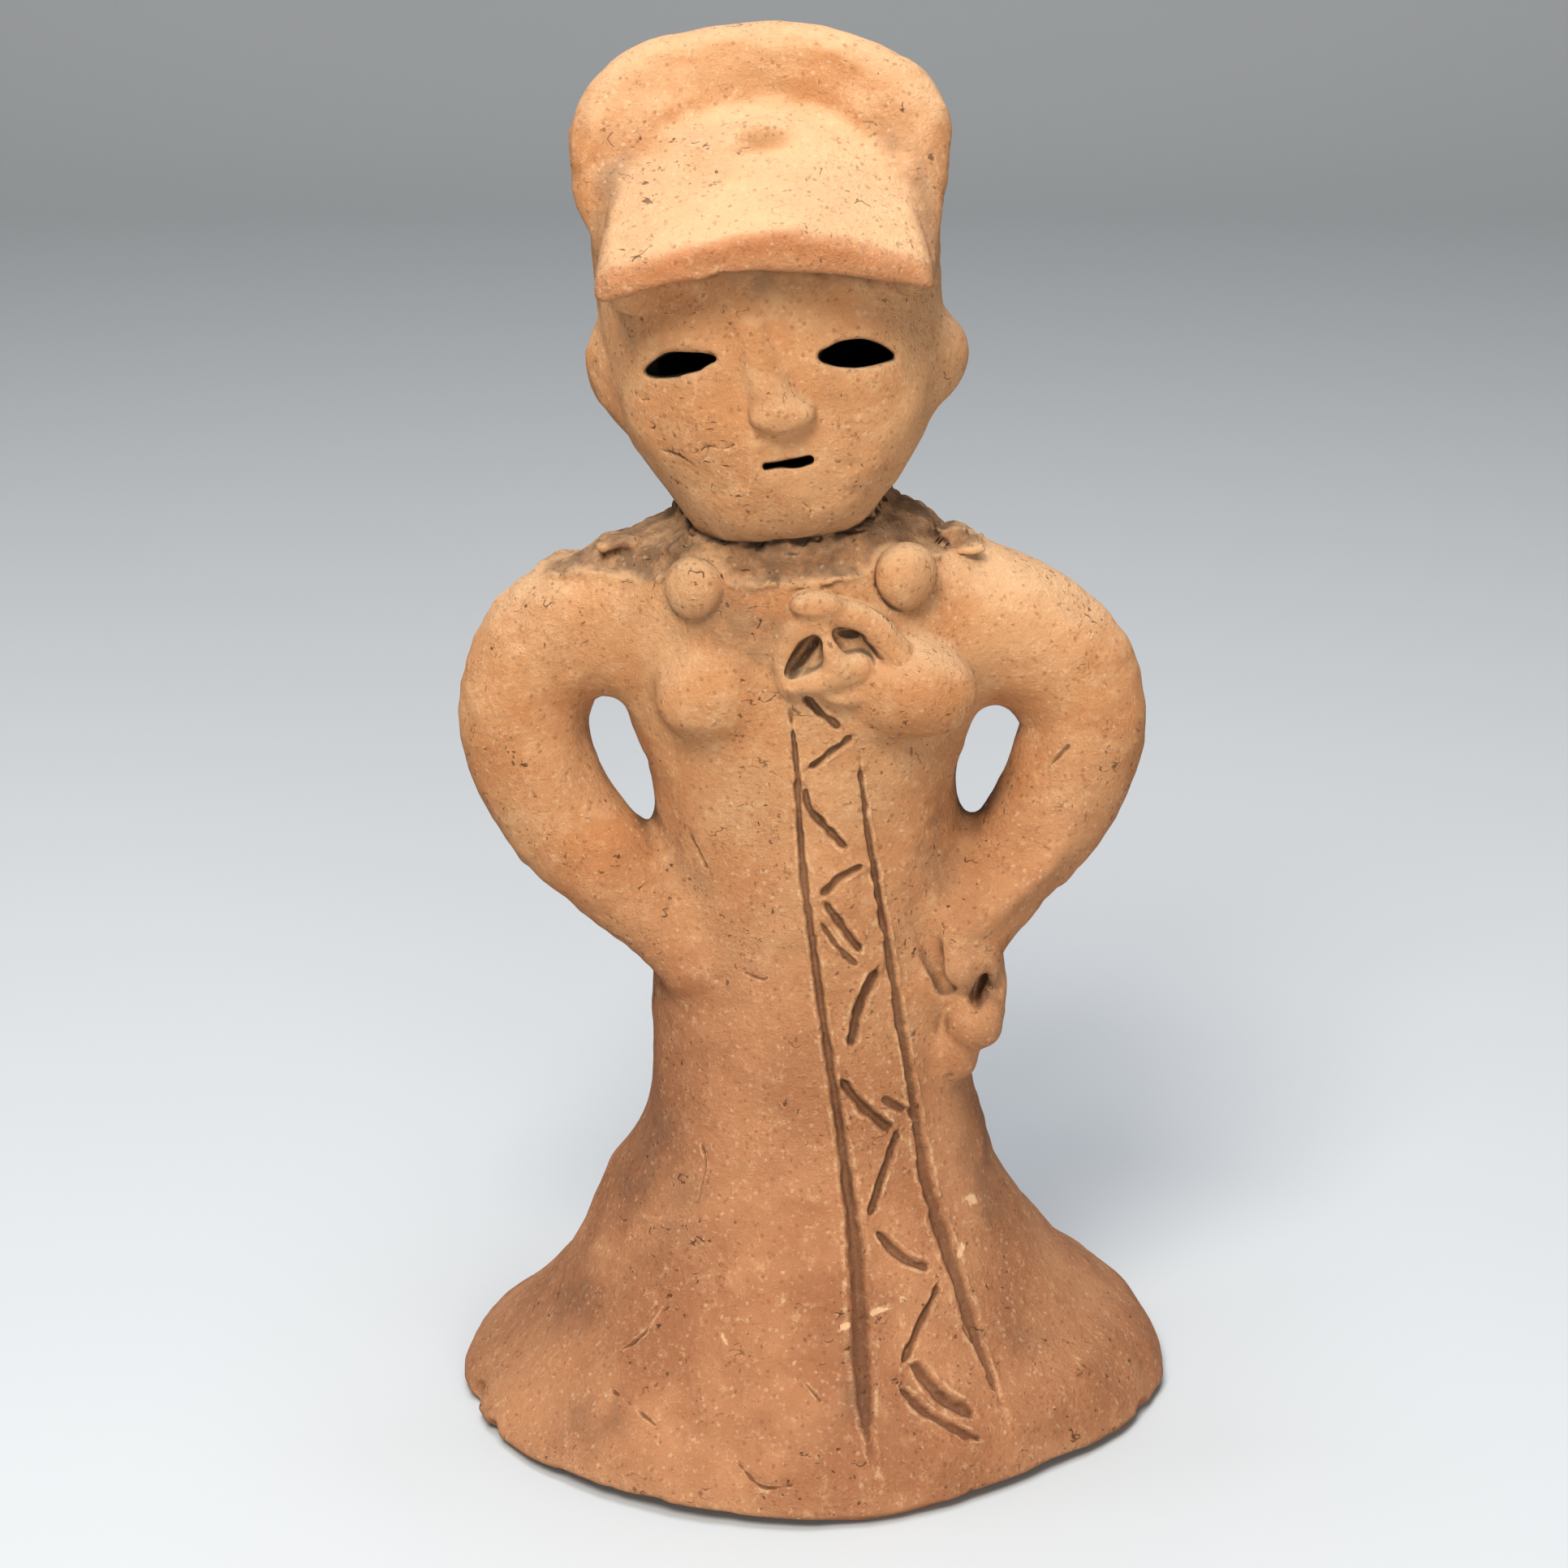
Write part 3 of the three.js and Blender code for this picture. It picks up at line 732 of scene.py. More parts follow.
# ---- marks of making and wear
# The two side lines of the sash, on the front of the body: rows of (x, z, half-width, depth).
SASH_LINES = [
    [
        (-4.7, 121, 0.5, 0.8),
        (-3.4, 110, 0.5, 0.8),
        (-2.8, 99.5, 0.6, 0.9),
        (-2, 90, 0.65, 0.9),
        (0.8, 69, 0.75, 1),
        (3.4, 52, 0.9, 1.1),
        (6, 32, 1.25, 1.2),
        (7, 14.5, 1.5, 1),
        (9.3, 6, 1.1, 0.7),
    ],
    [
        (5.6, 113.5, 0.5, 0.7),
        (7.2, 100, 0.5, 0.8),
        (9.6, 86, 0.6, 0.9),
        (12.4, 68, 0.65, 0.9),
        (15, 52, 0.75, 1),
        (16.8, 41, 0.85, 1),
        (20.4, 30, 1, 1),
        (24.6, 18.5, 1, 0.8),
        (29.2, 9.6, 0.7, 0.4),
    ],
]
# The strokes between them: half-width, depth, points (x, z).
ZIGZAG = [
    (0.60, 0.9, [(-2.1, 119.2), (1, 116.4), (3.4, 114.4)]),
    (0.55, 0.9, [(5.1, 113.4), (-1.6, 108)]),
    (0.65, 1, [(-2, 105.2), (-1, 101.4), (4.6, 95.2)]),
    (0.60, 0.9, [(7.1, 92.6), (3.2, 91), (0.3, 88)]),
    (0.65, 1, [(0.9, 87.4), (4, 82.8), (6.8, 78.8)]),
    (0.40, 0.5, [(0.2, 84.4), (3, 80), (6.2, 76.8)]),
    (0.85, 1.2, [(9.2, 76.6), (6.4, 70.4), (4.9, 63.8)]),
    (0.85, 1.2, [(3.4, 59.2), (7.2, 54.4), (11.6, 50.2)]),
    (0.60, 0.7, [(9.8, 55.6), (13.6, 52.8)]),
    (0.60, 1, [(12.4, 50.6), (7.8, 37.8)]),
    (0.70, 1, [(8.7, 36.4), (13.2, 32), (17.4, 30)]),
    (0.60, 1, [(18.6, 28), (15.4, 23.4), (12.5, 18.9)]),
    (0.75, 1.1, [(13.7, 19.2), (19.2, 14.2), (24, 11.4)]),
    (0.50, 0.8, [(11.8, 16.8), (17.2, 12.6), (25.2, 8.2)]),
]
# Cracks in the front of the body: half-width, depth, points (x, z).
BODY_CRACKS = [
    (0.22, 0.35, [(-18.6, 38), (-17.4, 44.6), (-18.2, 47.5)]),
    (0.20, 0.35, [(-11.6, 75.4), (-8.6, 74.6), (-7.4, 75.2)]),
    (0.25, 0.5, [(-19.6, 95.6), (-16.8, 90.6)]),
    (0.20, 0.35, [(-30.4, 17), (-26.6, 20.2), (-22.4, 25.2)]),
    (0.20, 0.35, [(-31.6, 13), (-28, 12.2), (-24, 10.8)]),
    (0.22, 0.4, [(-2, 18), (0.6, 16)]),
    (0.20, 0.4, [(-12.4, 9), (-8.4, 6.2), (-3.4, 6.6)]),
    (0.22, 0.4, [(22, 21.6), (23.6, 19)]),
    (0.25, 0.5, [(38.2, 108.6), (34.6, 104.4)]),
]
# Scratches that bare pale clay: half-width, points (x, z).
PALE_SCRATCHES = [
    (0.5, [(22.6, 37.4), (24.2, 36.2), (23.2, 33.4), (21.8, 30.6)]),
    (0.45, [(-0.3, 23.7), (4.6, 24.6)]),
    (0.45, [(8.3, 25.8), (14.2, 27.2)]),
    (0.45, [(-17.2, 27.4), (-16.4, 25)]),
    (0.5, [(-15.2, 23.4), (-13.8, 21.6)]),
    (0.5, [(2.6, 14.6), (3, 11.2)]),
]
# Cracks in the face: points (x, z) in the head's frame.
FACE_CRACKS = [
    [(-11.2, -6.8), (-9.8, -5.9), (-7.2, -6.2), (-5.6, -5.4)],
    [(-9.8, -5.9), (-10.2, -8.0)],
    [(-17.2, -7.0), (-13.8, -7.6), (-11.6, -9.4)],
    [(-19.4, 0.4), (-17.6, 0.8)],
    [(-18.4, -2.4), (-17.4, -3.2), (-18.0, -4.0)],
    [(3.2, -15.4), (4.2, -16.8), (3.6, -18.2)],
]


def to_line(p, points):
    """Distance to a line through the points, and how far along it, 0 to 1; all as seen from the front."""
    fine = fitted(points, 5).astype(np.float32)
    spans = np.linalg.norm(np.diff(fine, axis=0), axis=1)
    start = np.concatenate([[0], np.cumsum(spans)[:-1]])
    best, share = np.full(len(p), 99, np.float32), np.zeros(len(p), np.float32)
    for a, b, before, span in zip(fine, fine[1:], start, spans):
        along = b - a
        t = np.clip((p - a) @ along / (along @ along), 0, 1)
        d = np.linalg.norm(p - a - t[:, None] * along, axis=1)
        closer = d < best
        best[closer] = d[closer]
        share[closer] = (before + t[closer] * span) / spans.sum()
    return best, share


class Marks:
    """Relief and stains gathered over a set of surface points."""

    REACH = 2.2  # how many half-widths from its middle a groove still has a say

    def __init__(self, p, outer):
        self.p = p
        self.height = np.zeros(len(p), np.float32)  # mm out along the normal
        self.groove = np.zeros(len(p), np.float32)  # 1 in the middle of a groove, falling evenly to 0
        self.pale = np.zeros(len(p), np.float32)  # clay bared by a scratch, falling evenly to 0
        self.wobble = WOBBLE(self.p, 1.6)
        self.seen = p[:, [0, 2]]
        self.front = (p[:, 1] < -6) & (outer > 0.5)

    def near(self, points, margin=4.0):
        low, high = points.min(0) - margin, points.max(0) + margin
        return np.flatnonzero(self.front & ((self.seen > low) & (self.seen < high)).all(1))

    def score(self, points, half, depth, burr=0.25, dark=1.0):
        """A groove; half and depth may be given at each of the points."""
        points = np.asarray(points, np.float32)
        at = self.near(points)
        if not len(at):
            return
        d, share = to_line(self.seen[at], points)
        rows = np.linspace(0, 1, max(np.size(half), 2))
        half = np.interp(share, rows, np.broadcast_to(half, rows.shape))
        depth = np.interp(share, rows, np.broadcast_to(depth, rows.shape))
        # its ends run out shallow and narrow
        taper = 0.35 + 0.65 * smoothstep(0.0, 0.08, share) * smoothstep(1.0, 0.92, share)
        half = half * (0.45 + 0.55 * smoothstep(0.0, 0.14, share) * smoothstep(1.0, 0.86, share))
        d = np.maximum(d + 0.16 * self.wobble[at], 0)
        inside = np.clip(1 - (d / half) ** 1.6, 0, 1)
        ridge = np.exp(-(((d - half - 0.35) / 0.34) ** 2))
        self.height[at] -= depth * taper * inside
        self.height[at] += burr * ridge * np.clip(0.4 + 1.6 * self.wobble[at], 0, 1.6)
        self.raise_to("groove", at, dark * taper, d, half)

    def bare(self, points, half):
        """A pale scratch."""
        points = np.asarray(points, np.float32)
        at = self.near(points)
        if len(at):
            d, _ = to_line(self.seen[at], points)
            self.raise_to("pale", at, 1.0, d, half)

    def raise_to(self, stain, at, strength, d, half):
        """The stain at these points, no less than strength in the middle of the line."""
        values = getattr(self, stain)
        values[at] = np.maximum(values[at], strength * np.clip(1 - d / (self.REACH * half), 0, 1))


WOBBLE, BIG, MID, SMALL, WHERE = (Noise(seed) for seed in range(20, 25))
COLLAR_WIDTH, COLLAR_DEPTH, COLLAR_LIP_HEIGHT = 4.2, 0.75, 0.8


def off_beads(p):
    """0 on the two large beads, 1 away from them."""
    beads = (np.array(at, np.float32) for at in (RIGHT_BEAD_AT, LEFT_BEAD_AT))
    nearest = np.min([np.linalg.norm(p - bead, axis=1) for bead in beads], axis=0)
    return smoothstep(4.8, 6.6, nearest)


def neck_distance(p):
    """How far a point on the body is from the head; it is large on the head itself."""
    head, body = head_field(p), body_field(p)
    return np.where(body < 0.8, head, 20).astype(np.float32)


def marked(p):
    """The marks at surface points p."""
    p = p.astype(np.float32)
    outer = smoothstep(0.4, 1.6, hollow_field(p))
    marks = Marks(p, outer)
    upper = smoothstep(70, 100, p[:, 2])
    # pinching and smoothing by hand
    marks.height += 0.36 * BIG(p, 13.0) + 0.20 * outer * MID(p, 5.5)
    torn = smoothstep(-0.1, 0.7, WHERE(p, 22.0)) * (0.35 + 0.65 * upper)
    marks.height += outer * (0.05 + 0.10 * torn) * SMALL(p, (2.6, 2.6, 1.9))
    # the sash and the other marks in their places
    for rows in SASH_LINES:
        x, z, half, depth = np.array(rows).T
        marks.score(np.stack([x, z], 1), half, depth)
    for half, depth, line in ZIGZAG:
        marks.score(line, half, depth)
    for half, depth, line in BODY_CRACKS:
        marks.score(line, half, depth, burr=0.05, dark=0.75)
    for points in FACE_CRACKS:
        marks.score([from_head(x, z) for x, z in points], 0.22, 0.5, burr=0.05, dark=0.75)
    for half, line in PALE_SCRATCHES:
        marks.bare(line, half)
    # the collar: a shallow channel round the neck with a thin torn lip
    at = np.flatnonzero((p[:, 2] > 130) & (p[:, 2] < 152))
    out = neck_distance(p[at]) + 0.4 * marks.wobble[at]
    clear = off_beads(p[at])
    channel = clear * smoothstep(0.9, 1.9, out) * smoothstep(COLLAR_WIDTH, 2.8, out)
    marks.height[at] -= COLLAR_DEPTH * channel
    lip = np.exp(-(((out - COLLAR_WIDTH - 0.2) / 0.5) ** 2)) * smoothstep(-0.7, 0.3, marks.wobble[at])
    marks.height[at] += COLLAR_LIP_HEIGHT * clear * lip
    return marks


# Soft grey-brown patches: soot and handling stains, and painted shade on the brow, in the crease behind
# the fan, in the arms' folds and in the hand's hole: place, reach, strength.
SMUDGES_AND_SHADE = [
    ((-22, -12, 140), (10, 8, 5), 0.55),  # beside the neck
    ((11, -9, 143), (6, 7, 3), 0.5),
    ((-14, -19, 131), (9, 6, 8), 0.55),  # chest
    ((-8, -20, 128), (8, 6, 7), 0.5),
    ((-3, -25, 182.5), (17, 6, 2.6), 0.7),  # painted shadow on the brow under the lip
    ((-29, -10, 192), (6, 8, 9), 0.55),  # painted shade at the sides of the hair, in the crease behind the fan
    ((13, -12, 192), (5, 8, 9), 0.5),
    ((-22, -15, 92), (7, 8, 9), 0.55),  # painted shade in the folds of the right and the left arm
    ((19, -12, 92), (5, 8, 9), 0.4),
    ((25, -14, 71), (4, 4, 4), 0.8),  # painted shade in the hole of the hand
    ((-27, -13, 46), (8, 12, 19), 0.6),  # sides of the skirt
    ((-21, -20, 34), (6, 8, 13), 0.4),
    ((-38, -17, 21), (8, 9, 9), 0.55),
    ((-34, -34, 9), (12, 8, 5), 0.45),
    ((28, -10, 40), (8, 12, 17), 0.5),
    ((33, -20, 17), (12, 10, 7), 0.3),
    ((5.5, -38, 15), (2.6, 12, 11), 0.5),  # foot of the sash
    ((10, 24, 60), (18, 14, 30), 0.35),  # back
    ((-15, 30, 30), (18, 14, 16), 0.45),
]


def stains_and_shade(p):
    total = np.zeros(len(p), np.float32)
    warp = 0.22 * MID(p + 15, 7.0) + 0.12 * SMALL(p, 2.6)
    for at, reach, strength in SMUDGES_AND_SHADE:
        d = np.linalg.norm((p - np.array(at, np.float32)) / np.array(reach, np.float32), axis=1)
        total = np.maximum(total, strength * smoothstep(1.15, 0.25, d + warp))
    head = np.flatnonzero(p[:, 2] > HEAD_AT[2] + 14)
    q = to_head(p[head])
    # painted shade along the crease where the fan meets the hair
    crease = smoothstep(3.5, 0.5, np.abs(fan_edge(q) - 1.0))
    crease = crease * smoothstep(-31, -26, q[:, 1]) * smoothstep(-9, -14, q[:, 1])
    total[head] = np.maximum(total[head], 0.6 * crease)
    # a dark band round the neck under the chin: soot, with painted shade beneath the chin
    neck = np.flatnonzero((p[:, 2] > 132) & (p[:, 2] < 152))
    away = neck_distance(p[neck]) + 0.8 * SMALL(p[neck], 2.0)
    band = smoothstep(COLLAR_WIDTH + 0.5, COLLAR_WIDTH - 1.2, away)
    total[neck] = np.maximum(total[neck], 0.9 * band * off_beads(p[neck]))
    return total


# ---- the piece
def lip_front(p):
    """1 on the front of the fan's lip, which is rough and coloured redder and darker: painted shade of
    the lip's front face.
    """
    q = to_head(p)
    width = (q[:, 0] / FAN_HALF_WIDTH) ** 2
    front = FAN_FRONT + 3.6 * width**2
    depth = smoothstep(2.0, 0.8, np.abs(q[:, 1] - front))
    return depth * smoothstep(10, 14, q[:, 2]) * smoothstep(29, 27, q[:, 2]) * (width < 1.4)


def shade_in_head(p):
    """1 on the walls of the slits and inside the head, painted black as shade where no light gets in."""
    total = smoothstep(1.2, 0.3, hollow_field(p)) * (p[:, 2] > 146)
    face = facing(p)
    q = to_head(p[face])
    behind = smoothstep(-0.7, -1.6, SKULL(q))
    for slit, _ in slits_at(q):
        total[face] = np.maximum(total[face], behind * (slit < 0.5))
    return total


def mesh_from(name, points, faces):
    """A mesh from arrays of points and of faces with the same number of corners."""
    mesh = bpy.data.meshes.new(name)
    corners = faces.shape[1]
    mesh.vertices.add(len(points))
    mesh.vertices.foreach_set("co", points.astype(np.float32).ravel())
    mesh.loops.add(faces.size)
    mesh.loops.foreach_set("vertex_index", faces.astype(np.int32).ravel())
    mesh.polygons.add(len(faces))
    mesh.polygons.foreach_set("loop_start", np.arange(0, faces.size, corners, dtype=np.int32))
    mesh.update(calc_edges=True)
    mesh.validate()
    return mesh


def placed(name, data):
    """A new object in the scene."""
    made = bpy.data.objects.new(name, data)
    bpy.context.collection.objects.link(made)
    return made


def vertex_array(mesh, what):
    values = np.zeros(len(mesh.vertices) * 3, np.float32)
    mesh.vertices.foreach_get(what, values)
    return values.reshape(-1, 3)


def biggest_part(points, quads):
    """Only the faces joined to most of the surface, so that no crumb floats free."""
    parent = np.arange(len(points))
    while True:
        least = parent[quads].min(1)
        before = parent.copy()
        for corner in range(4):
            np.minimum.at(parent, quads[:, corner], least)
        parent = parent[parent]
        if (before == parent).all():
            break
    labels, sizes = np.unique(parent[quads[:, 0]], return_counts=True)
    kept = quads[parent[quads[:, 0]] == labels[sizes.argmax()]]
    used, renumbered = np.unique(kept, return_inverse=True)
    return points[used], renumbered.reshape(kept.shape)


def settled(points, faces, rounds):
    """The points moved onto the surface of the field."""
    for _ in range(rounds):
        offset = in_parallel(figure_field, points.astype(np.float32))
        points = points - np.clip(offset, -0.3, 0.3)[:, None] * normals_of(points, faces)
    return points


# Boxes, as their low and high corners, where the mesh has to be finest.
FINE_BOXES = [
    ((-24, -40, 152), (12, -16, 176)),  # eyes, nose and mouth
    ((-20, -30, 138), (14, -6, 145)),  # under the chin
    ((-8, -30, 118), (14, -16, 134)),  # knot of the sash
    ((-24, -28, 130), (20, -12, 142)),  # necklace
    ((-34, -10, 137), (-24, -2, 144)),  # pellets on the shoulders
    ((16, -10, 138), (26, -2, 145)),
    ((-16, -20, 196), (4, -8, 206)),  # tie of the hair
    ((16, -24, 56), (32, -2, 80)),  # left hand
]


def detailed(p):
    """Which points lie on a groove or in one of the boxes."""
    zone = marked(p).groove > 0
    for low, high in FINE_BOXES:
        zone |= ((p > low) & (p < high)).all(1)
    return zone


def marks_on(p):
    marks = marked(p)
    return np.stack([marks.height, marks.groove, marks.pale], 1)


def pressed_figure():
    """The figure's mesh in design millimetres, with its relief, within the triangle limit."""
    low = np.array([-60.0, -60.0, -4.0])
    high = np.array([60.0, 60.0, 220.0])
    values = sampled(figure_field, low, high, GRID_STEP)
    points, quads = surface_net(values, low, GRID_STEP)
    points, quads = biggest_part(points, quads)
    faces = triangles_of(points, quads)
    points = settled(points, faces, 1)
    fine = in_parallel(detailed, points)
    points, faces = refined(points, faces, fine[faces].all(1))
    points = settled(points, faces, 2)
    height, groove, pale = in_parallel(marks_on, points).T
    foot = smoothstep(0.2, 2.0, points[:, 2])  # the standing surface keeps its level
    points += (height * foot)[:, None] * normals_of(points, faces)
    points[:, 2] = np.maximum(points[:, 2], 0)
    mesh = mesh_from("figure", points, faces)
    add_value(mesh, "groove", groove)
    add_value(mesh, "pale", pale)
    dense = placed("dense", mesh)
    spare = dense.vertex_groups.new(name="spare")  # all but the grooves may be thinned out
    spare.add(np.flatnonzero(groove < 0.05).tolist(), 1.0, "REPLACE")
    thin = dense.modifiers.new("thin", "DECIMATE")
    thin.ratio = min(1.0, TRIANGLE_LIMIT / len(faces))
    thin.vertex_group = spare.name
    graph = bpy.context.evaluated_depsgraph_get()
    done = bpy.data.meshes.new_from_object(dense.evaluated_get(graph))
    bpy.data.objects.remove(dense)
    return done


def add_value(mesh, name, values):
    layer = mesh.attributes.new(name, "FLOAT", "POINT")
    layer.data.foreach_set("value", np.clip(values, 0, 1).astype(np.float32))


def made_figure():
    mesh = pressed_figure()
    points = vertex_array(mesh, "co")
    normals = vertex_array(mesh, "normal")
    # How shut in and how far standing out each point is, found from the field: the first darkens hollows
    # as dirt with painted shade, the second pales raised edges as wear with painted highlight.
    crevice_dirt_and_shade = np.zeros(len(points), np.float32)
    edge_wear_and_highlight = np.zeros(len(points), np.float32)
    for reach, weight in ((1.6, 0.4), (4.5, 0.6)):
        out = figure_field(points + normals * reach)
        back = figure_field(points - normals * reach)
        crevice_dirt_and_shade += weight * np.clip(1 - out / reach, 0, 1)
        edge_wear_and_highlight += weight * np.clip(1 + back / reach, 0, 1)
    add_value(mesh, "crevice_dirt_and_shade", crevice_dirt_and_shade)
    # paler on raised edges: rubbed wear with painted highlight
    add_value(mesh, "edge_wear_and_highlight", edge_wear_and_highlight)
    # soot and handling stains, together with painted shade on the brow, in creases, folds and the hand's
    # hole
    add_value(mesh, "soot_and_shade", stains_and_shade(points))
    # painted shade: black on the slit walls and inside the head
    add_value(mesh, "within", shade_in_head(points))
    # painted highlight: paler on upward-facing surfaces of the upper figure
    add_value(mesh, "top_highlight", smoothstep(0.2, 0.9, normals[:, 2]) * smoothstep(95, 122, points[:, 2]))
    # darker brick towards the foot, in part painted shade for the light falling off downwards
    add_value(mesh, "fired", smoothstep(128, 40, points[:, 2] + 9 * BIG(points + 60, 26.0)))
    # the lip's front: rougher relief, and painted shade in its colour
    add_value(mesh, "lip", lip_front(points))
    mesh.vertices.foreach_set("co", (points * MM).ravel())
    mesh.update()
    mesh.shade_smooth()
    mesh.materials.clear()
    mesh.materials.append(clay_material())
    return placed("haniwa_figure", mesh)


# ---- materials
def linear(red, green, blue):
    """A colour from its 0-255 screen values."""
    def one(value):
        value /= 255
        return value / 12.92 if value <= 0.04045 else ((value + 0.055) / 1.055) ** 2.4

    return (one(red), one(green), one(blue), 1.0)


class Shader:
    """Short ways to add nodes to one material."""

    def __init__(self, name):
        self.material = bpy.data.materials.new(name)
        self.material.use_nodes = True
        self.tree = self.material.node_tree
        self.surface = self.tree.nodes["Principled BSDF"]

    def node(self, kind, **values):
        made = self.tree.nodes.new(kind)
        for key, value in values.items():
            setattr(made, key, value)
        return made

    def link(self, source, target):
        self.tree.links.new(source, target)

    def value(self, name):
        """A vertex value of the mesh."""
        return self.node("ShaderNodeAttribute", attribute_name=name).outputs["Fac"]

    def noise(self, size_mm, detail=3.0, roughness=0.55, stretch=None):
        """Noise from 0 to 1 whose features are about size_mm across."""
        place = self.node("ShaderNodeTexCoord").outputs["Object"]
        if stretch:
            scaled = self.node("ShaderNodeMapping")
            scaled.inputs["Scale"].default_value = stretch
            self.link(place, scaled.inputs["Vector"])
            place = scaled.outputs["Vector"]
        made = self.node("ShaderNodeTexNoise")
        made.inputs["Scale"].default_value = 1 / (size_mm * MM)
        made.inputs["Detail"].default_value = detail
        made.inputs["Roughness"].default_value = roughness
        self.link(place, made.inputs["Vector"])
        return made.outputs["Fac"]

    def grains(self, size_mm):
        """Packed grains about size_mm across: the distance from each one's middle, and its own value."""
        made = self.node("ShaderNodeTexVoronoi")
        made.inputs["Scale"].default_value = 1 / (size_mm * MM)
        self.link(self.node("ShaderNodeTexCoord").outputs["Object"], made.inputs["Vector"])
        return made.outputs["Distance"], made.outputs["Color"]

    def ramp(self, source, low, high, top=1.0):
        """0 below low to top above high."""
        made = self.node("ShaderNodeMapRange", interpolation_type="SMOOTHSTEP")
        made.inputs["From Min"].default_value = low
        made.inputs["From Max"].default_value = high
        made.inputs["To Max"].default_value = top
        self.link(source, made.inputs["Value"])
        return made.outputs["Result"]

    def maths(self, operation, a, b):
        made = self.node("ShaderNodeMath", operation=operation)
        for socket, value in zip(made.inputs, (a, b)):
            if isinstance(value, (int, float)):
                socket.default_value = value
            else:
                self.link(value, socket)
        return made.outputs[0]

    def times(self, a, b):
        return self.maths("MULTIPLY", a, b)

    def ragged(self, value, noise, strength):
        """The value pushed up and down by noise that runs from 0 to 1."""
        return self.maths("ADD", value, self.times(self.maths("SUBTRACT", noise, 0.5), strength))

    def mix(self, factor, a, b):
        """Colour a turning to colour b as factor goes from 0 to 1."""
        made = self.node("ShaderNodeMix", data_type="RGBA")
        self.link(factor, made.inputs["Factor"])
        for name, value in (("A", a), ("B", b)):
            socket = next(s for s in made.inputs if s.name == name and s.type == "RGBA")
            if isinstance(value, tuple):
                socket.default_value = value
            else:
                self.link(value, socket)
        return next(s for s in made.outputs if s.type == "RGBA")


PEACH = linear(214, 156, 106)
PEACH_PALE = linear(234, 184, 134)
PEACH_DEEP = linear(204, 138, 86)
BRICK = linear(186, 123, 81)
BRICK_DEEP = linear(162, 98, 60)
BRICK_PALE = linear(206, 147, 103)
SOOT_AND_SHADE = linear(98, 73, 55)
BRICK_DARK = linear(134, 78, 46)
TOP_HIGHLIGHT_PALE = linear(242, 200, 154)
LIP_SHADE_RED = linear(196, 112, 62)
DIRT_AND_SHADE = linear(52, 30, 18)
GROOVE_SHADE_AND_GRIME = linear(98, 62, 40)
SHADE_BLACK = linear(22, 13, 9)
BARED = linear(246, 202, 152)
GRIT = linear(242, 212, 178)


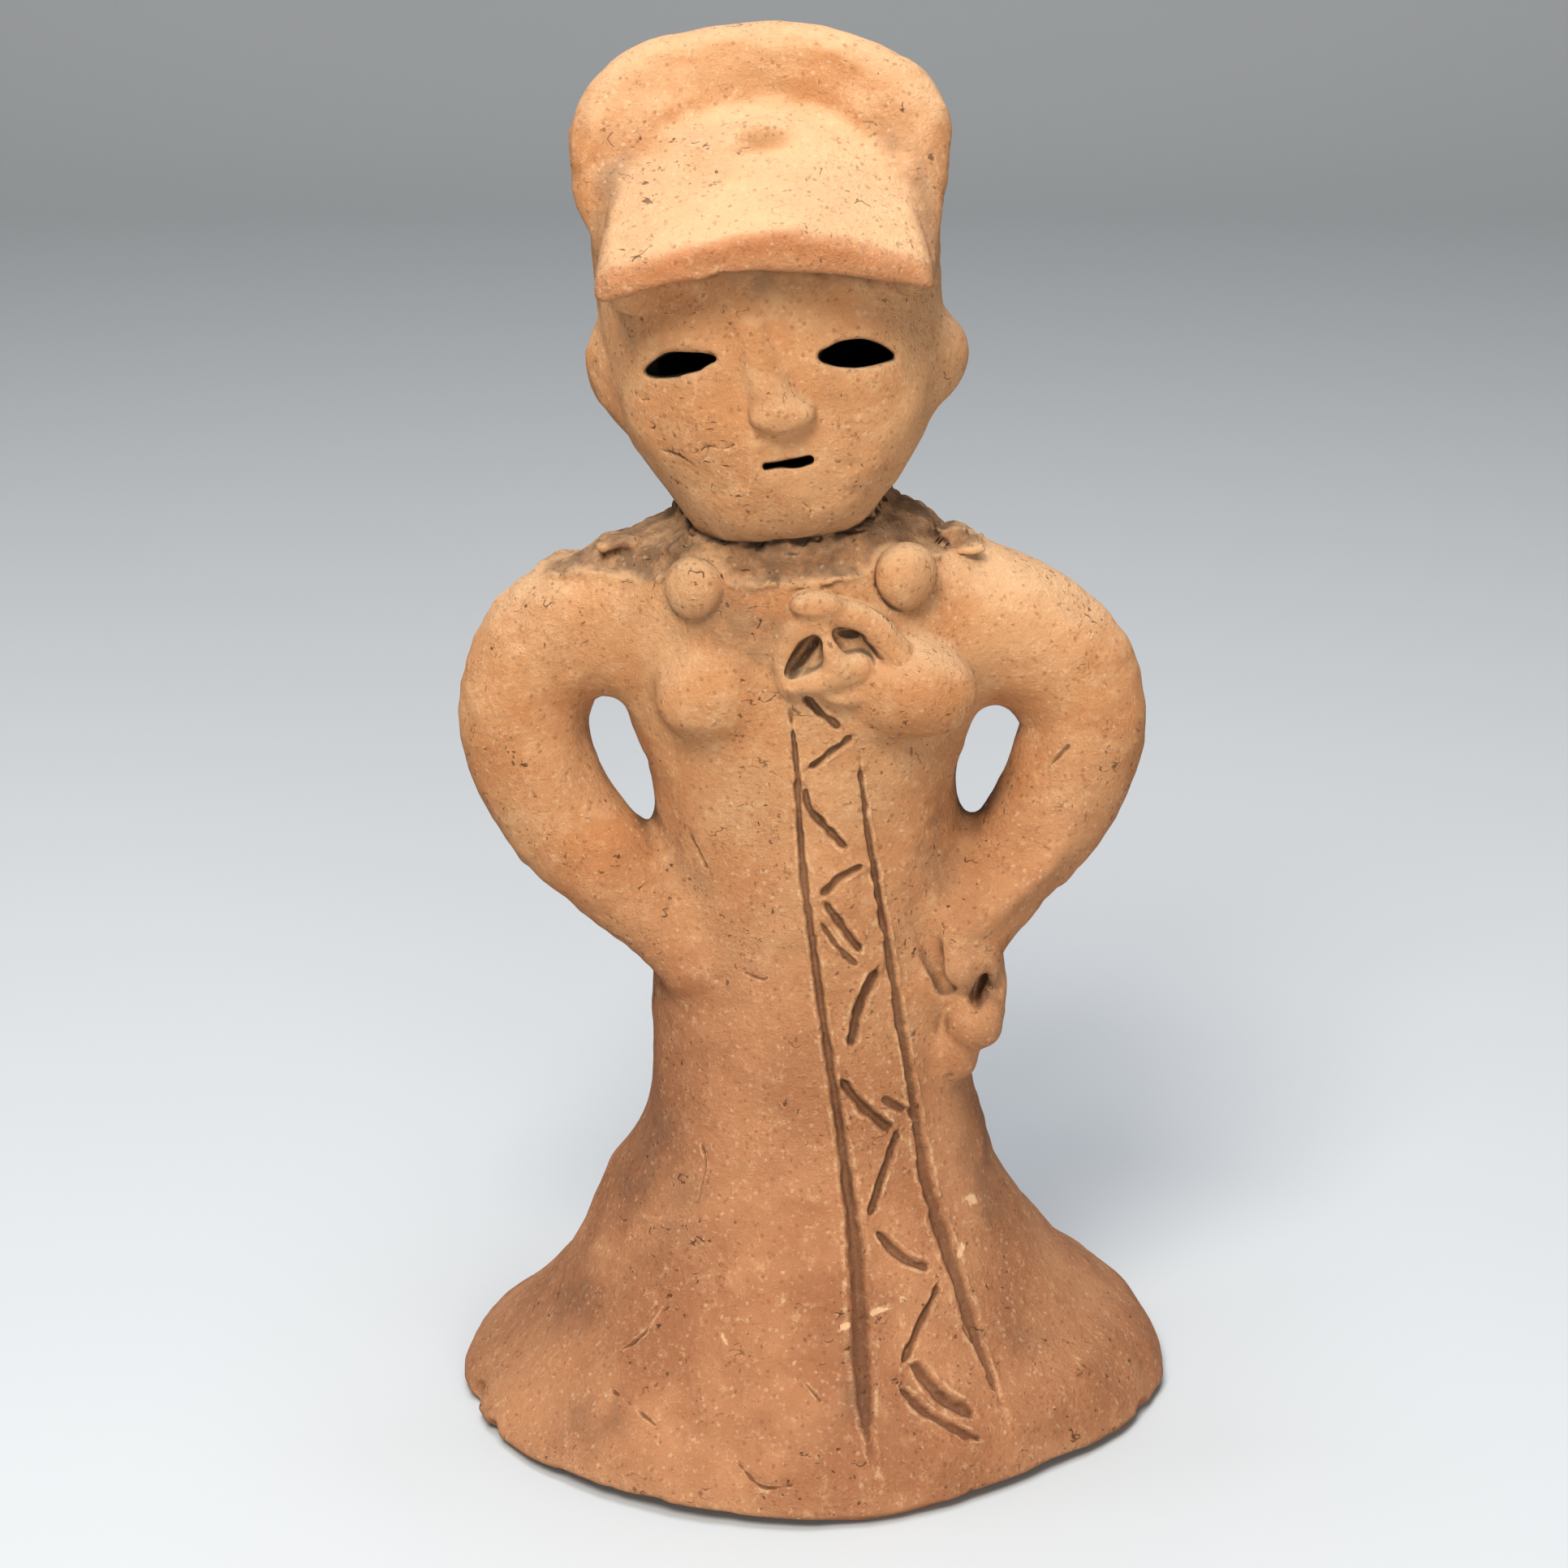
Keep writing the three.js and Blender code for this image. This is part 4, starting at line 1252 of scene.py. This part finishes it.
def clay_material():
    """Unglazed clay: its own colours, then stains, grit, cracks and scored lines, painted shade in
    hollows, grooves and slits, painted highlight on tops and edges, and its fine relief.
    """
    s = Shader("terracotta")
    broad, middling = s.noise(17, 3), s.noise(4.5, 4, 0.6)
    flakes, fine = s.noise(1.9, 6, 0.72), s.noise(0.75, 6, 0.78)
    round_grain, own = s.grains(0.85)
    crumbs = s.noise(1.1, 6, 0.78)
    rough = s.ramp(s.noise(15, 2), 0.36, 0.62)
    # torn-out grit and short drying cracks
    lying, standing = s.noise(1.3, 3, 0.6, (0.6, 0.6, 1.2)), s.noise(1.3, 3, 0.6, (1.2, 1.2, 0.6))
    holes = s.times(s.ramp(s.maths("MINIMUM", lying, standing), 0.33, 0.29), rough)
    near_line = s.maths("ABSOLUTE", s.maths("SUBTRACT", s.noise(5.0, 2, 0.5, (1, 1, 1.6)), 0.5), 0)
    here = s.ramp(s.noise(3.2, 2), 0.60, 0.66)
    cracks = s.times(s.ramp(near_line, 0.016, 0.006), s.times(here, rough))
    line = s.ragged(s.value("groove"), fine, 0.25)
    scored = s.ramp(line, 0.48, 0.74)
    burr = s.times(s.ramp(line, 0.12, 0.26), s.ramp(line, 0.48, 0.36))
    scratch = s.ramp(s.ragged(s.value("pale"), fine, 0.5), 0.5, 0.72)

    upper = s.mix(s.ramp(broad, 0.38, 0.66), PEACH, PEACH_DEEP)
    upper = s.mix(s.ramp(middling, 0.50, 0.72, 0.45), upper, PEACH_PALE)
    lower = s.mix(s.ramp(broad, 0.36, 0.64), BRICK, BRICK_DEEP)
    lower = s.mix(s.ramp(middling, 0.52, 0.74, 0.4), lower, BRICK_PALE)
    # towards the foot the clay turns darker brick; in part this is painted shade for the light falling
    # off downwards
    colour = s.mix(s.value("fired"), upper, lower)
    # soot and handling stains together with painted shade in creases and folds
    smudge_and_shade = s.times(s.value("soot_and_shade"), s.ramp(middling, 0.25, 0.62))
    inner = s.ramp(s.ragged(round_grain, fine, 1.4), 0.46, 0.26)
    layers = [
        # painted highlight on upward-facing surfaces of the upper figure
        (s.times(s.value("top_highlight"), 0.55), TOP_HIGHLIGHT_PALE),
        # painted shade: the lip's front turned redder and darker
        (s.times(s.value("lip"), 0.55), LIP_SHADE_RED),
        (s.ramp(flakes, 0.54, 0.70, 0.30), BARED),
        (s.ramp(crumbs, 0.58, 0.64, 0.30), BARED),
        (s.ramp(crumbs, 0.44, 0.36, 0.45), BRICK_DEEP),
        # paler raised edges: rubbed wear with painted highlight
        (s.times(s.value("edge_wear_and_highlight"), 0.22), BARED),
        (s.times(s.times(burr, s.ramp(flakes, 0.42, 0.6)), 0.4), BARED),
        (s.times(smudge_and_shade, 0.80), SOOT_AND_SHADE),
        # painted shade with dirt: darker in hollows, creases and recesses
        (s.ramp(s.value("crevice_dirt_and_shade"), 0.42, 0.95, 0.75), DIRT_AND_SHADE),
        (s.times(scratch, 0.8), BARED),
        (s.times(s.ramp(own, 0.74, 0.86, 0.26), inner), GRIT),
        (s.times(s.ramp(own, 0.30, 0.17, 0.42), inner), BRICK_DARK),
        (s.times(s.maths("MAXIMUM", holes, cracks), 0.75), DIRT_AND_SHADE),
        # painted shade with dirt in the grooves
        (s.times(scored, 0.68), GROOVE_SHADE_AND_GRIME),
        # painted shade: the insides seen through the slits are black
        (s.value("within"), SHADE_BLACK),
    ]
    for share, tint in layers:
        colour = s.mix(share, colour, tint)
    s.link(colour, s.surface.inputs["Base Color"])
    s.surface.inputs["Roughness"].default_value = 0.9
    s.surface.inputs["Specular IOR Level"].default_value = 0.2

    # height in millimetres
    relief = s.times(flakes, s.maths("ADD", s.times(rough, 1.1), 0.6))
    relief = s.maths("ADD", relief, s.times(fine, 0.9))
    relief = s.maths("SUBTRACT", relief, s.times(round_grain, 0.12))
    relief = s.maths("ADD", relief, s.times(s.value("lip"), s.times(flakes, 1.2)))
    relief = s.maths("SUBTRACT", relief, s.times(s.maths("MAXIMUM", holes, cracks), 0.30))
    bump = s.node("ShaderNodeBump")
    bump.inputs["Strength"].default_value = 1.0
    bump.inputs["Distance"].default_value = MM
    s.link(relief, bump.inputs["Height"])
    s.link(bump.outputs["Normal"], s.surface.inputs["Normal"])
    return s.material


def plain_material(name, colour, roughness):
    s = Shader(name)
    s.surface.inputs["Base Color"].default_value = colour
    s.surface.inputs["Roughness"].default_value = roughness
    return s.material


# ---- camera, floor and light
CAMERA_TARGET = Vector((-5.1, 0.0, 99.5)) * MM
CAMERA_DISTANCE = 600 * MM
CAMERA_ELEVATION = math.radians(18)
CAMERA_LENS = 89.4
# name, place in metres, size, watts, colour
LIGHTS = [
    ("key", (-0.24, -0.78, 1.02), 0.45, 20.5, (1.0, 0.97, 0.92)),
    ("top", (-0.05, 0.0, 1.1), 0.7, 12.0, (0.95, 1.0, 1.10)),
    ("fill", (0.30, -1.25, 0.32), 0.5, 9.5, (1.0, 0.98, 0.95)),
]
LIT_POINT = Vector((0, 0, 0.10))  # where the lights are aimed
FLOOR_COLOUR = (0.42, 0.43, 0.43, 1)


def aim(thing, target):
    thing.rotation_euler = (target - thing.location).to_track_quat("-Z", "Y").to_euler()


def add_camera():
    data = bpy.data.cameras.new("camera")
    data.lens = CAMERA_LENS
    data.sensor_width = 36.0
    data.clip_start = 0.01
    camera = placed("camera", data)
    back = Vector((0, -math.cos(CAMERA_ELEVATION), math.sin(CAMERA_ELEVATION)))
    camera.location = CAMERA_TARGET + back * CAMERA_DISTANCE
    aim(camera, CAMERA_TARGET)
    bpy.context.scene.camera = camera


def add_floor():
    """A pale floor that curves up into a backdrop behind the figure."""
    half, bend, rise = 1.6, 0.5, 1.4
    profile = [(-half, 0.0), (half - bend, 0.0)]
    for a in np.linspace(0, math.pi / 2, 13)[1:]:
        profile.append((half - bend + bend * math.sin(a), bend - bend * math.cos(a)))
    profile.append((half, rise))
    points = np.array([(x, y, z) for y, z in profile for x in (-2.4, 2.4)])
    faces = np.array([(2 * i, 2 * i + 1, 2 * i + 3, 2 * i + 2) for i in range(len(profile) - 1)])
    mesh = mesh_from("floor", points, faces)
    mesh.shade_smooth()
    mesh.materials.append(plain_material("pale_floor", FLOOR_COLOUR, 0.6))
    placed("floor", mesh)


def add_light(name, place, size, watts, colour):
    data = bpy.data.lights.new(name, "AREA")
    data.size = size
    data.energy = watts
    data.color = colour
    light = placed(name, data)
    light.location = place
    aim(light, LIT_POINT)


def add_world():
    world = bpy.data.worlds.new("studio")
    bpy.context.scene.world = world
    world.use_nodes = True
    background = world.node_tree.nodes["Background"]
    background.inputs["Color"].default_value = (0.92, 0.96, 1.0, 1)
    background.inputs["Strength"].default_value = 0.15


bpy.context.scene.view_settings.view_transform = "Standard"
add_camera()
add_floor()
add_world()
for light in LIGHTS:
    add_light(*light)

figure = made_figure()
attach(figure, "root")
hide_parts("figure")

bpy.context.view_layer.update()
